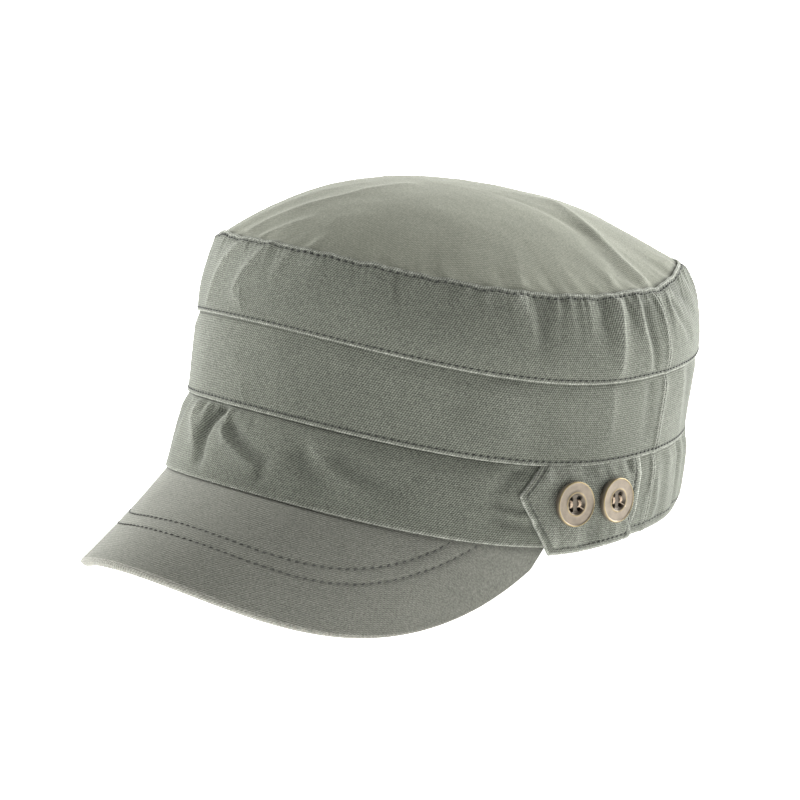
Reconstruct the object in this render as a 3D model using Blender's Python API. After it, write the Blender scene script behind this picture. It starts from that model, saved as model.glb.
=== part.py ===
"""Patrol cap in washed twill: a tall wall of three bands, a domed top, a short curved peak,
and a pointed side tab with two metal buttons.

The cap is modelled level first. The back half of the rim lies in z = 0, +X is the wearer's left
and -Y is the front. Angles run round the cap in degrees from the middle of the front towards +X.
Heights on a band are shares, from 0 at its bottom seam to 1 at its top seam. The last step leans
the cap back until the peak and the back of the rim touch the ground, as it rests by itself.
"""

import math
from enum import IntEnum
from typing import NamedTuple

import bmesh
import bpy
import numpy as np
from mathutils import Matrix, Vector

# Driving sizes of the wall and the top, in metres
HEAD_WIDTH = 0.1752
HEAD_LENGTH = 0.1975
LOWER_HEIGHT = 0.0274
MIDDLE_HEIGHT = 0.0279
UPPER_HEIGHT = 0.0301
FRONT_RISE = 0.0156
CROWN_RISE = 0.0262
CLOTH = 0.0012
SEAM_LAP = 0.0040
TUCK = 0.0055
GAP = 0.0003
SIDE_SEAM_DEG = 102.5

# Driving sizes of the peak
PEAK_LENGTH = 0.0460
PEAK_THICKNESS = 0.0026
PEAK_END_DEG = 75.0
PEAK_SLOPE_DEG = 23.7
PEAK_END_SLOPE_DEG = 54.9
PEAK_TURN_UP = 0.0030
PEAK_CORNER_POWER = 4
PEAK_SPLAY = -0.16
PEAK_CUT_SHARE = 0.975

# Driving sizes of the tab and its buttons
TAB_LENGTH = 0.0556
TAB_POINT = 0.0067
TAB_DROP = 0.0027
TAB_SEAM_DISTANCE = 0.0106
TAB_END_MARGIN = 0.0068
TAB_TIP_HEIGHT = 0.61
TAB_TAPER_TO_REAR = 0.9
BUTTON_DIAMETER = 0.0158
BUTTON_THICKNESS = 0.0025
BUTTON_CLEARANCE = 0.0037
BUTTON_HOLE = 0.0016
BUTTON_HOLE_PITCH = 0.0035
BUTTON_HEIGHT = 0.545

# Shape of the dome: how it rounds over, where its middle lies and how its back gives way
DOME_POWER = 2.35
DOME_CENTRE = -0.165
DOME_BACK_SAG = 0.32
DOME_FRONT_LIFT = 0.25
DOME_EDGE_FADE = 12

# Waves of the gathered back, and how far the cloth gives where the cap rests
GATHER_COUNT = 12
GATHER_DEPTH = 0.0011
REST_SQUASH = 0.0004

HALF_WIDTH = HEAD_WIDTH / 2
HALF_LENGTH = HEAD_LENGTH / 2
BAND_HEIGHTS = (LOWER_HEIGHT, MIDDLE_HEIGHT, UPPER_HEIGHT)
INSET = CLOTH + GAP

FRONT_COLUMNS = 60
BACK_COLUMNS = 36
PEAK_COLUMNS = 38
TAB_COLUMNS = 9
BUTTON_SEGMENTS = 24
HOLE_SEGMENTS = 8


class Band(IntEnum):
    """The three bands of the wall, bottom one first."""

    LOWER = 0
    MIDDLE = 1
    UPPER = 2


class Ring(NamedTuple):
    """A level of the wall. Lengths are shares of the half width, half length and front rise."""

    width: float
    length: float
    centre: float
    rise: float


class Belly(NamedTuple):
    """How far a band bulges between its seams, as shares of its height."""

    front: float
    back: float


class Fold(NamedTuple):
    """A ridge or, with a negative depth, a valley in a band. Lengths are shares of its height."""

    band: Band
    start_deg: float
    start_height: float
    end_deg: float
    end_height: float
    width: float
    depth: float


class Crease(NamedTuple):
    """A ridge or valley in the top. Radii, width and depth are shares of the half width."""

    start_deg: float
    start_radius: float
    end_deg: float
    end_radius: float
    width: float
    depth: float


RINGS = (
    Ring(1.000, 1.000, -0.095, 1.00),
    Ring(0.989, 0.964, -0.032, 0.89),
    Ring(0.988, 0.974, 0.009, 1.01),
    Ring(0.912, 0.874, -0.010, 0.81),
)

BELLIES = (
    Belly(0.033, 0.015),
    Belly(0.000, 0.000),
    Belly(0.060, 0.120),
)

FOLDS = (
    Fold(Band.LOWER, -11.0, 0.95, -14.5, 0.40, 0.17, -0.100),
    Fold(Band.LOWER, -21.0, 0.80, -16.5, 0.35, 0.20, 0.065),
    Fold(Band.LOWER, -7.0, 0.95, -6.0, 0.55, 0.15, 0.075),
    Fold(Band.LOWER, -5.0, 0.56, 6.0, 0.28, 0.14, 0.050),
    Fold(Band.LOWER, -4.0, 0.70, 7.0, 0.45, 0.13, -0.060),
    Fold(Band.LOWER, 15.0, 0.62, 23.0, 0.34, 0.24, -0.050),
    Fold(Band.LOWER, 22.0, 0.62, 30.0, 0.42, 0.20, 0.035),
    Fold(Band.LOWER, 27.0, 0.72, 38.0, 0.45, 0.22, -0.030),
    Fold(Band.LOWER, -34.0, 0.80, -40.0, 0.35, 0.24, -0.045),
    Fold(Band.UPPER, -15.0, 0.95, -25.0, 0.15, 0.15, 0.050),
    Fold(Band.UPPER, -5.0, 0.94, -12.0, 0.36, 0.14, 0.045),
    Fold(Band.UPPER, 2.7, 0.94, 0.0, 0.60, 0.12, 0.030),
    Fold(Band.UPPER, 59.2, 0.96, 63.2, 0.49, 0.14, 0.050),
    Fold(Band.UPPER, 66.2, 0.96, 65.0, 0.41, 0.18, -0.045),
    Fold(Band.UPPER, 78.5, 0.96, 77.8, 0.58, 0.12, 0.035),
    Fold(Band.UPPER, 82.5, 0.96, 82.0, 0.55, 0.14, -0.040),
    Fold(Band.UPPER, 87.5, 0.96, 85.4, 0.12, 0.12, 0.075),
    Fold(Band.UPPER, 94.0, 0.95, 95.0, 0.15, 0.12, 0.040),
    Fold(Band.UPPER, 108.0, 0.94, 111.3, 0.42, 0.16, 0.060),
    Fold(Band.UPPER, 116.0, 0.93, 120.0, 0.45, 0.18, -0.065),
    Fold(Band.UPPER, 131.0, 0.93, 134.0, 0.50, 0.20, 0.040),
    Fold(Band.UPPER, 152.0, 0.93, 150.0, 0.45, 0.20, -0.040),
    Fold(Band.UPPER, 176.0, 0.93, 178.0, 0.40, 0.22, 0.040),
    Fold(Band.UPPER, 205.0, 0.93, 202.0, 0.45, 0.20, -0.040),
    Fold(Band.UPPER, 229.0, 0.93, 226.0, 0.50, 0.20, 0.040),
    Fold(Band.UPPER, 246.0, 0.93, 243.0, 0.45, 0.18, -0.050),
    Fold(Band.UPPER, -94.0, 0.95, -92.0, 0.20, 0.14, 0.055),
    Fold(Band.UPPER, -83.0, 0.95, -84.0, 0.50, 0.14, -0.040),
    Fold(Band.UPPER, -70.0, 0.95, -71.0, 0.45, 0.14, 0.040),
    Fold(Band.UPPER, -56.0, 0.95, -54.0, 0.55, 0.14, -0.030),
)

CREASES = (
    Crease(-20.0, 0.95, -8.0, 0.58, 0.060, 0.013),
    Crease(-10.0, 0.90, 2.0, 0.70, 0.050, -0.009),
    Crease(104.0, 0.93, 107.0, 0.74, 0.060, 0.020),
    Crease(107.0, 0.74, 128.0, 0.50, 0.080, 0.018),
    Crease(120.0, 0.84, 155.0, 0.66, 0.170, -0.030),
    Crease(212.0, 0.86, 230.0, 0.60, 0.120, -0.020),
)

# Tones of the cloth and the metal, as sRGB hex values
TWILL = "7E8077"
TWILL_LIGHT = "8D8F83"
TWILL_SHADE = "747770"
BRASS = "8F7D52"


def bump(along, up, starts, ends, widths, depths):
    """Sum of rounded ridges, each falling off with the distance from its own straight line."""
    total = np.zeros(np.broadcast(along, up).shape)
    for start, end, width, depth in zip(starts, ends, widths, depths):
        run = end - start
        share = ((along - start[0]) * run[0] + (up - start[1]) * run[1]) / max(run @ run, 1e-12)
        share = np.clip(share, 0, 1)
        off_along = along - start[0] - share * run[0]
        off_up = up - start[1] - share * run[1]
        total = total + depth * np.exp(-(off_along**2 + off_up**2) / width**2)
    return total


def ring_point(level, t):
    """Points of one seam line: an ellipse whose front half rises with the square of the cosine."""
    ring = RINGS[level]
    x = HALF_WIDTH * ring.width * np.sin(t)
    y = HALF_LENGTH * (ring.centre - ring.length * np.cos(t))
    z = sum(BAND_HEIGHTS[:level]) + FRONT_RISE * ring.rise * np.clip(np.cos(t), 0, 1) ** 2
    return np.stack(np.broadcast_arrays(x, y, z), axis=-1)


def band_belly(band, share, t):
    """Outward swell of a band between its seams, blended from front to back."""
    belly = BELLIES[band]
    backness = (1 - np.cos(t)) / 2
    swell = belly.front + (belly.back - belly.front) * backness
    return BAND_HEIGHTS[band] * swell * 4 * share * (1 - share)


def band_folds(band, share, t):
    """Outward push of the folds, which fade out where the band laps over another piece."""
    height = BAND_HEIGHTS[band]
    rows = [row for row in FOLDS if row.band == band]
    arc = (HALF_WIDTH + HALF_LENGTH) / 2
    degrees = np.degrees(t)
    nearest = (degrees + 100) % 360 - 100
    push = bump(
        np.radians(nearest) * arc,
        share * height,
        [np.array((math.radians(row.start_deg) * arc, row.start_height * height)) for row in rows],
        [np.array((math.radians(row.end_deg) * arc, row.end_height * height)) for row in rows],
        [row.width * height for row in rows],
        [row.depth * height for row in rows],
    )
    if band == Band.LOWER:
        push = push + gathers(share, t)
    lap = SEAM_LAP / height
    top = 1 - lap if band == Band.UPPER else 1
    inner = np.clip((share - lap) / (top - lap), 0, 1)
    return push * (1 - (2 * inner - 1) ** 4)


def gathers(share, t):
    """Upright waves across the back of the lower band, none at its two side seams."""
    seam = math.radians(SIDE_SEAM_DEG)
    along = np.clip((t - seam) / (2 * math.pi - 2 * seam), 0, 1)
    fade = np.clip(6 * np.minimum(along, 1 - along), 0, 1)
    wave = np.cos(2 * math.pi * GATHER_COUNT * along + 1.5 * share)
    return GATHER_DEPTH * fade * wave


def plain_wall(band, share, t):
    """The wall without folds: straight up from seam line to seam line, plus the belly."""
    below = ring_point(band, t)
    above = ring_point(band + 1, t)
    out = np.stack(np.broadcast_arrays(np.sin(t), -np.cos(t), 0 * t), axis=-1)
    swell = np.expand_dims(band_belly(band, share, t), -1)
    mix = np.expand_dims(share, -1)
    return below * (1 - mix) + above * mix + out * swell


def wall(band, share, t, outward=0.0):
    """Cloth of the wall with its folds, moved outward by a distance along its own normal."""
    step = 1e-4
    point = plain_wall(band, share, t)
    around = plain_wall(band, share, t + step) - plain_wall(band, share, t - step)
    upward = plain_wall(band, share + step, t) - plain_wall(band, share - step, t)
    normal = np.cross(around, upward)
    normal /= np.linalg.norm(normal, axis=-1, keepdims=True)
    push = np.expand_dims(band_folds(band, share, t) + outward, -1)
    return point + normal * push


def wall_row(band, share, t, outward=0.0):
    """One row of wall points, for the angles t."""
    return wall(band, np.full_like(t, share), t, outward)


def angle_ahead(distance, share):
    """Angle in radians that lies a distance ahead of the side seam, measured along the cloth."""
    samples = np.radians(np.linspace(SIDE_SEAM_DEG, 0, 400))
    points = wall_row(Band.LOWER, share, samples)
    steps = np.linalg.norm(np.diff(points, axis=0), axis=1)
    travelled = np.concatenate([[0], np.cumsum(steps)])
    return float(np.interp(distance, travelled, samples))


def material(name, tone, roughness, metallic=0.0):
    """Principled material from an sRGB hex tone."""
    channels = [int(tone[i : i + 2], 16) / 255 for i in (0, 2, 4)]
    linear = [c / 12.92 if c <= 0.04045 else ((c + 0.055) / 1.055) ** 2.4 for c in channels]
    result = bpy.data.materials.new(name)
    result.use_nodes = True
    shader = result.node_tree.nodes["Principled BSDF"]
    shader.inputs["Base Color"].default_value = (*linear, 1)
    shader.inputs["Roughness"].default_value = roughness
    shader.inputs["Metallic"].default_value = metallic
    return result


def new_object(name, mesh, finish):
    """Adds a named object with one material to the scene."""
    mesh.materials.append(finish)
    result = bpy.data.objects.new(name, mesh)
    bpy.context.scene.collection.objects.link(result)
    return result


def cloth_sheet(name, rows, thickness, finish, closed=False, pole=None, row_shares=None):
    """Cloth from rows of points, bottom row first, with its wall laid on the inner side.

    A closed sheet joins its last column to its first. A pole point closes the top row. Row shares
    give each row its part of the full thickness.
    """
    mesh = bpy.data.meshes.new(name)
    builder = bmesh.new()
    grid = [[builder.verts.new(point) for point in row] for row in rows]
    columns = len(grid[0])
    last = columns if closed else columns - 1
    for lower, upper in zip(grid, grid[1:]):
        for i in range(last):
            j = (i + 1) % columns
            builder.faces.new((lower[i], lower[j], upper[j], upper[i]))
    if pole is not None:
        tip = builder.verts.new(pole)
        for i in range(last):
            builder.faces.new((grid[-1][i], grid[-1][(i + 1) % columns], tip))
    builder.to_mesh(mesh)
    builder.free()
    mesh.shade_smooth()
    result = new_object(name, mesh, finish)
    solid = result.modifiers.new("wall", "SOLIDIFY")
    solid.thickness = thickness
    solid.offset = -1
    if row_shares is not None:
        group = result.vertex_groups.new(name="thickness")
        for row, share in enumerate(row_shares):
            group.add(range(row * columns, (row + 1) * columns), share, "REPLACE")
        solid.vertex_group = group.name
    return result


def front_angles():
    """Angles across the front lengths of the bands, half a gap short of each side seam."""
    return np.radians(np.linspace(-1, 1, FRONT_COLUMNS + 1)) * (SIDE_SEAM_DEG - seam_gap_deg())


def back_angles():
    """Angles across the back lengths of the bands, half a gap short of each side seam."""
    start = SIDE_SEAM_DEG + seam_gap_deg()
    return np.radians(np.linspace(start, 360 - start, BACK_COLUMNS + 1))


def seam_gap_deg():
    """Half of the gap at a side seam, as an angle."""
    return math.degrees(GAP / 2 / (HALF_WIDTH * RINGS[-1].width))


def band_rows(band, angles):
    """Rows of one band: its face, its top drawn in under the next band, and the lap inside it."""
    height = BAND_HEIGHTS[band]
    lap = SEAM_LAP / height
    if band == Band.UPPER:
        return [wall_row(band, share, angles) for share in (0, lap, 0.34, 0.56, 0.77, 1 - lap, 1)]
    drawn_in = 1 - TUCK / height
    face_shares = (0, lap, 0.34, 0.57, drawn_in) if band == Band.LOWER else (0, lap, drawn_in)
    rows = [wall_row(band, share, angles) for share in face_shares]
    rows.append(wall_row(band + 1, 0, angles, -INSET))
    rows.append(wall_row(band + 1, SEAM_LAP / BAND_HEIGHTS[band + 1], angles, -INSET))
    return rows


def make_bands():
    """Three bands, each in a front and a back length."""
    names = ("lower_band", "middle_band", "upper_band")
    pieces = {}
    for band, name in enumerate(names):
        for part, angles, tone in (
            ("front", front_angles(), TWILL_SHADE),
            ("back", back_angles(), TWILL_LIGHT),
        ):
            full_name = f"{name}_{part}"
            finish = material(full_name + "_twill", tone, 0.92)
            pieces[full_name] = cloth_sheet(full_name, band_rows(band, angles), CLOTH, finish)
    return pieces


def dome_point(radius, t):
    """The top inside its seam line: a rounded dome, a little lower towards the back."""
    edge = wall_row(Band.UPPER, 1, t, -INSET)
    ring = RINGS[-1]
    centre = np.array((0, HALF_LENGTH * (ring.centre + DOME_CENTRE)))
    seam_height = sum(BAND_HEIGHTS) + DOME_FRONT_LIFT * FRONT_RISE * ring.rise
    result = np.empty_like(edge)
    result[:, :2] = centre * (1 - radius) + edge[:, :2] * radius
    backness = np.clip(-np.cos(t), 0, 1)
    result[:, 2] = (
        edge[:, 2] * radius**2
        + seam_height * (1 - radius**2)
        + CROWN_RISE * (1 - radius**DOME_POWER)
        - DOME_BACK_SAG * CROWN_RISE * backness * radius**1.5 * (1 - radius)
        + creases(radius, t) * min(1, DOME_EDGE_FADE * (1 - radius))
    )
    return result


def creases(radius, t):
    """Rise of the creases in the top, measured on its plan."""

    def plan(degrees, share):
        """Plan position at an angle and a share of the radius."""
        angle = math.radians(degrees)
        return HALF_WIDTH * share * np.array((math.sin(angle), -math.cos(angle)))

    return bump(
        HALF_WIDTH * radius * np.sin(t),
        -HALF_WIDTH * radius * np.cos(t),
        [plan(row.start_deg, row.start_radius) for row in CREASES],
        [plan(row.end_deg, row.end_radius) for row in CREASES],
        [row.width * HALF_WIDTH for row in CREASES],
        [row.depth * HALF_WIDTH for row in CREASES],
    )


def make_crown():
    """The domed top, with its edge turned down inside the upper band."""
    angles = np.concatenate([front_angles()[::2], back_angles()[::2]])
    lap = SEAM_LAP / UPPER_HEIGHT
    rows = [wall_row(Band.UPPER, 1 - lap, angles, -INSET), wall_row(Band.UPPER, 1, angles, -INSET)]
    rows += [dome_point(radius, angles) for radius in (0.93, 0.80, 0.62, 0.42, 0.20)]
    pole = dome_point(0.0, np.zeros(1))[0]
    finish = material("crown_top_twill", TWILL_LIGHT, 0.92)
    return cloth_sheet("crown_top", rows, CLOTH, finish, closed=True, pole=pole)


def peak_row(share, t):
    """Points of the peak at a share of its length: rounded in plan and steeper to the sides."""
    end = math.radians(PEAK_END_DEG)
    root = wall_row(Band.LOWER, 0, t, -INSET)
    length = PEAK_LENGTH * (1 - np.abs(t / end) ** PEAK_CORNER_POWER)
    slope_deg = PEAK_SLOPE_DEG + (PEAK_END_SLOPE_DEG - PEAK_SLOPE_DEG) * (t / end) ** 2
    heading = PEAK_SPLAY * t
    run = share * length + INSET * min(1, 8 * share)
    x = root[:, 0] + run * np.sin(heading)
    y = root[:, 1] - run * np.cos(heading)
    z = root[:, 2] - 2 * GAP - run * np.tan(np.radians(slope_deg))
    return np.stack([x, y, z], axis=-1)


def peak_cut():
    """Angle at which the peak's rounded ends are cut, just short of where it would vanish."""
    return PEAK_CUT_SHARE * math.radians(PEAK_END_DEG)


def make_peak():
    """The peak, with a thin edge turned up inside the lower band."""
    spread = np.linspace(-1, 1, PEAK_COLUMNS + 1)
    angles = peak_cut() * np.sin(1.2 * spread) / math.sin(1.2)
    shares = (1, 0.96, 0.72, 0.42, 0.16, 0)
    rows = [peak_row(share, angles) for share in shares]
    rows.append(wall_row(Band.LOWER, PEAK_TURN_UP / LOWER_HEIGHT, angles, -INSET))
    thin = CLOTH / PEAK_THICKNESS
    row_shares = (0.8, 1, 1, 1, 1, thin, thin)
    finish = material("peak_twill", TWILL, 0.92)
    return cloth_sheet("peak", rows, PEAK_THICKNESS, finish, row_shares=row_shares)


def make_tab():
    """The pointed tab, laid on the lower band a gap away from it."""
    tip_share = TAB_TIP_HEIGHT
    top_share = 1 - 2 * GAP / LOWER_HEIGHT
    bottom_share = -TAB_DROP / LOWER_HEIGHT
    back_edge = angle_ahead(TAB_SEAM_DISTANCE, tip_share)
    tip = angle_ahead(TAB_SEAM_DISTANCE + TAB_LENGTH, tip_share)
    top_corner = angle_ahead(TAB_SEAM_DISTANCE + TAB_LENGTH - TAB_POINT, tip_share)
    bottom_corner = peak_cut() + GAP * 4 / HALF_WIDTH
    across = np.linspace(0, 1, TAB_COLUMNS + 1)
    rows = []
    for share in (bottom_share, 0.05, 0.146, 0.34, tip_share, 1 - TUCK / LOWER_HEIGHT, top_share):
        front_edge = np.interp(
            share, (bottom_share, tip_share, top_share), (bottom_corner, tip, top_corner)
        )
        angles = front_edge + (back_edge - front_edge) * across
        drawn_in = INSET * np.clip((share - 1) * LOWER_HEIGHT / TUCK + 1, 0, 1)
        level = share * (1 - TAB_TAPER_TO_REAR * across) if share < 0 else share + 0 * across
        rows.append(wall(Band.LOWER, level, angles, GAP + CLOTH - drawn_in))
    finish = material("side_tab_twill", TWILL, 0.92)
    return cloth_sheet("side_tab", rows, CLOTH, finish)


def button_mesh():
    """Turned button: a raised outer rim, a flat ring, a raised inner rim and a round dish."""
    radius = BUTTON_DIAMETER / 2
    thick = BUTTON_THICKNESS
    profile = (
        (0.00, 0.60),
        (0.50, 0.60),
        (0.57, 0.97),
        (0.64, 0.88),
        (0.88, 0.88),
        (0.93, 1.00),
        (1.00, 0.72),
        (0.96, 0.20),
        (0.86, 0.00),
        (0.00, 0.00),
    )
    builder = bmesh.new()
    chain = [builder.verts.new((radius * across, 0, thick * up)) for across, up in profile]
    edges = [builder.edges.new(pair) for pair in zip(chain, chain[1:])]
    bmesh.ops.spin(
        builder,
        geom=chain + edges,
        axis=(0, 0, 1),
        cent=(0, 0, 0),
        angle=2 * math.pi,
        steps=BUTTON_SEGMENTS,
    )
    bmesh.ops.remove_doubles(builder, verts=builder.verts, dist=1e-6)
    bmesh.ops.recalc_face_normals(builder, faces=builder.faces)
    mesh = bpy.data.meshes.new("button")
    builder.to_mesh(mesh)
    builder.free()
    return mesh


def hole_cutter():
    """Four upright rods that cut the thread holes of a button."""
    builder = bmesh.new()
    for across in (-1, 1):
        for up in (-1, 1):
            place = Matrix.Translation(
                (across * BUTTON_HOLE_PITCH / 2, up * BUTTON_HOLE_PITCH / 2, BUTTON_THICKNESS / 2)
            )
            bmesh.ops.create_cone(
                builder,
                cap_ends=True,
                segments=HOLE_SEGMENTS,
                radius1=BUTTON_HOLE / 2,
                radius2=BUTTON_HOLE / 2,
                depth=3 * BUTTON_THICKNESS,
                matrix=place,
            )
    mesh = bpy.data.meshes.new("thread_holes")
    builder.to_mesh(mesh)
    builder.free()
    cutter = bpy.data.objects.new("thread_holes", mesh)
    bpy.context.scene.collection.objects.link(cutter)
    cutter.hide_render = True
    cutter.display_type = "WIRE"
    return cutter


def make_buttons():
    """Two buttons side by side on the tab, each flat against the cloth's high point."""
    first = TAB_SEAM_DISTANCE + TAB_END_MARGIN + BUTTON_DIAMETER / 2
    spacing = BUTTON_DIAMETER + BUTTON_CLEARANCE
    pieces = {}
    for name, distance in (("button_back", first), ("button_front", first + spacing)):
        t = np.array([angle_ahead(distance, BUTTON_HEIGHT)])
        place = Vector(wall_row(Band.LOWER, BUTTON_HEIGHT, t, 2 * GAP + CLOTH)[0])
        outer = Vector(wall_row(Band.LOWER, BUTTON_HEIGHT, t, 1)[0])
        outward = (outer - place).normalized()
        across = Vector((0, 0, 1)).cross(outward).normalized()
        upward = outward.cross(across)
        turn = Matrix((across, upward, outward)).transposed()
        finish = material(name + "_brass", BRASS, 0.35, 0.9)
        button = new_object(name, button_mesh(), finish)
        cutter = hole_cutter()
        cutter.parent = button
        cut = button.modifiers.new("thread_holes", "BOOLEAN")
        cut.operation = "DIFFERENCE"
        cut.object = cutter
        button.location = place
        button.rotation_euler = turn.to_euler()
        button.data.shade_smooth()
        button.data.set_sharp_from_angle(angle=math.radians(30))
        pieces[name] = button
    return pieces


def world_points(piece):
    """Corner points of a piece as it is seen, in world space, as an array."""
    shown = piece.evaluated_get(bpy.context.evaluated_depsgraph_get())
    flat = np.empty(len(shown.data.vertices) * 3, dtype=np.float32)
    shown.data.vertices.foreach_get("co", flat)
    turn = np.array(shown.matrix_world)
    return flat.reshape(-1, 3) @ turn[:3, :3].T + turn[:3, 3]


def heights_when_leaned(points, angle):
    """Heights of points once the cap is leaned back by an angle."""
    return points[:, 2] * math.cos(angle) - points[:, 1] * math.sin(angle)


def rest_angle(front_points, back_points):
    """Lean at which the lowest point of the peak is level with the lowest of the back, halving."""
    low, high = -0.5, 0.5
    for _ in range(50):
        middle = (low + high) / 2
        front = heights_when_leaned(front_points, middle).min()
        back = heights_when_leaned(back_points, middle).min()
        low, high = (middle, high) if front < back else (low, middle)
    return (low + high) / 2


def flatten_where_resting(piece):
    """Fixes the piece's wall as mesh, and lifts what lies below the ground up to it."""
    shown = piece.evaluated_get(bpy.context.evaluated_depsgraph_get())
    mesh = bpy.data.meshes.new_from_object(shown)
    points = world_points(piece)
    points[:, 2] = np.maximum(points[:, 2], 0)
    turn = np.array(piece.matrix_world)
    local = (points - turn[:3, 3]) @ turn[:3, :3]
    piece.modifiers.clear()
    piece.data = mesh
    mesh.vertices.foreach_set("co", local.astype(np.float32).ravel())
    mesh.update()


def lay_at_rest(pieces):
    """Leans the whole cap on the ground, with the middle of its outline over the origin."""
    bpy.context.view_layer.update()
    points = {name: world_points(piece) for name, piece in pieces.items()}
    angle = rest_angle(points["peak"], points["lower_band_back"])
    rest = bpy.data.objects.new("rest", None)
    bpy.context.scene.collection.objects.link(rest)
    rest.rotation_euler = (-angle, 0, 0)
    for piece in pieces.values():
        piece.parent = rest
    everything = np.concatenate(list(points.values()))
    turned = everything @ np.array(Matrix.Rotation(-angle, 3, "X")).T
    low, high = turned.min(axis=0), turned.max(axis=0)
    rest.location = (-(low[0] + high[0]) / 2, -(low[1] + high[1]) / 2, -low[2] - REST_SQUASH)
    bpy.context.view_layer.update()
    for name in ("peak", "lower_band_back"):
        flatten_where_resting(pieces[name])


def main():
    """Builds every piece, then lays the cap at rest."""
    for old in list(bpy.data.objects):
        bpy.data.objects.remove(old, do_unlink=True)
    pieces = make_bands()
    pieces["crown_top"] = make_crown()
    pieces["peak"] = make_peak()
    pieces["side_tab"] = make_tab()
    pieces.update(make_buttons())
    lay_at_rest(pieces)


main()
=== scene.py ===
"""Patrol cap in washed twill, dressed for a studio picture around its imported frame.

The cap is first worked out level: +X is the wearer's left, -Y the front, and the back half of the
rim lies in z = 0. Angles run round the cap from the middle of the front towards +X, and heights on
a band are shares from 0 at its bottom seam to 1 at its top seam. Every finished point is then
leaned back as the cap rests by itself. Lengths are in metres unless a name ends in _mm or _deg.
"""

import logging
import math
from dataclasses import dataclass
from enum import Enum, IntEnum

import bpy
import numpy as np
from bpy.types import Material, Node, NodeSocket, NodeTree, Object
from mathutils import Matrix, Vector


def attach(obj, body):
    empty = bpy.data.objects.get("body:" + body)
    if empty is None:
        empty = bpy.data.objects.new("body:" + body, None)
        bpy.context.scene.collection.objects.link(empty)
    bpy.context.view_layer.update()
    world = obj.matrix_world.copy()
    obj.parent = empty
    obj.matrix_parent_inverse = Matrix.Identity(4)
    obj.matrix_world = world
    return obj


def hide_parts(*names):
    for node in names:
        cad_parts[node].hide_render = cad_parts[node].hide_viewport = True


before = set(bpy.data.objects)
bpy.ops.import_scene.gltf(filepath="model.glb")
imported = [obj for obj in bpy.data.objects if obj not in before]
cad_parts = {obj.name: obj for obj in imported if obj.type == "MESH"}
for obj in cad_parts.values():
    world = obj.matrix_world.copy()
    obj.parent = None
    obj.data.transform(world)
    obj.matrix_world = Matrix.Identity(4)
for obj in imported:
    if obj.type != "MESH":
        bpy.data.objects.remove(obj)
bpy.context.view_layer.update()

LOG = logging.getLogger("patrol_cap")
MM = 0.001
TAU = 2 * math.pi
BODY = "root"

Array = np.ndarray
Line = tuple[tuple[float, float], ...]


class Level(IntEnum):
    """The three bands of the wall, bottom one first."""

    LOWER = 0
    MIDDLE = 1
    UPPER = 2


class Half(Enum):
    """The two lengths that each band is cut in."""

    FRONT = "front"
    BACK = "back"


class Slot(Enum):
    """Material slots of the record."""

    TWILL = "washed_twill"
    PEAK = "peak_twill"
    BRASS = "antique_brass"


@dataclass(frozen=True)
class Ridge:
    """A soft ridge or, with a negative rise, a valley along a line.

    The line's points are (degrees, height share) on a band and (degrees, radius share) on the top.
    """

    line: Line
    width_mm: float
    rise_mm: float


@dataclass(frozen=True)
class Ring:
    """A seam line of the wall, as shares of the half width, the half length and the front rise."""

    width: float
    length: float
    centre: float
    rise: float


@dataclass(frozen=True)
class Bump:
    """A rise of the top seam: its middle and width in degrees, and its height in millimetres."""

    middle: float
    width: float
    rise_mm: float


LOWER_RIDGES = (
    Ridge(((-10.5, 0.99), (-13.8, 0.74), (-14.6, 0.54), (-13.4, 0.28)), 3.2, -3.2),
    Ridge(((-21.5, 0.97), (-21.2, 0.73), (-18.0, 0.52), (-15.8, 0.38)), 4.2, 1.9),
    Ridge(((-6.9, 0.99), (-6.8, 0.86), (-7.2, 0.68), (-5.3, 0.56), (1.9, 0.40), (6.0, 0.30)), 2.5, 1.8),
    Ridge(((-6.1, 0.76), (-2.3, 0.61), (3.1, 0.49), (7.2, 0.42), (7.4, 0.24)), 2.8, -2.2),
    Ridge(((16.4, 0.60), (18.6, 0.48), (22.6, 0.34)), 4.0, -1.9),
    Ridge(((18.6, 0.70), (21.1, 0.59), (28.3, 0.42)), 4.0, 1.4),
    Ridge(((24.5, 0.66), (30.0, 0.56), (38.4, 0.44)), 3.8, -1.5),
    Ridge(((-34.0, 0.85), (-40.0, 0.35)), 6.5, -1.2),
    Ridge(((-27.5, 0.98), (-29.5, 0.55)), 4.0, 0.7),
    Ridge(((-18.6, 1.00), (-18.9, 0.84)), 1.1, -0.6),
    Ridge(((-16.6, 1.00), (-16.9, 0.80)), 1.2, 0.6),
    Ridge(((-14.4, 1.00), (-15.6, 0.86)), 1.0, -0.5),
    Ridge(((-12.9, 1.00), (-13.8, 0.88)), 1.0, 0.5),
    Ridge(((-3.9, 1.00), (-3.4, 0.86)), 1.1, 0.45),
    Ridge(((0.6, 1.00), (1.8, 0.80)), 1.4, -0.4),
    Ridge(((63.6, 1.00), (59.0, 0.64), (61.4, 0.30)), 3.4, -1.1),
    Ridge(((65.5, 0.44), (59.0, 0.50)), 2.0, -0.8),
    Ridge(((67.5, 0.34), (60.0, 0.42)), 1.8, 0.5),
    Ridge(((69.0, 0.24), (60.5, 0.33)), 2.2, -0.7),
    Ridge(((102.5, 0.94), (102.7, 0.68), (101.0, 0.43), (100.9, 0.07)), 1.5, 0.5),
    Ridge(((105.0, 0.60), (106.4, 0.31), (105.2, 0.10)), 2.0, 0.7),
)

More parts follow.
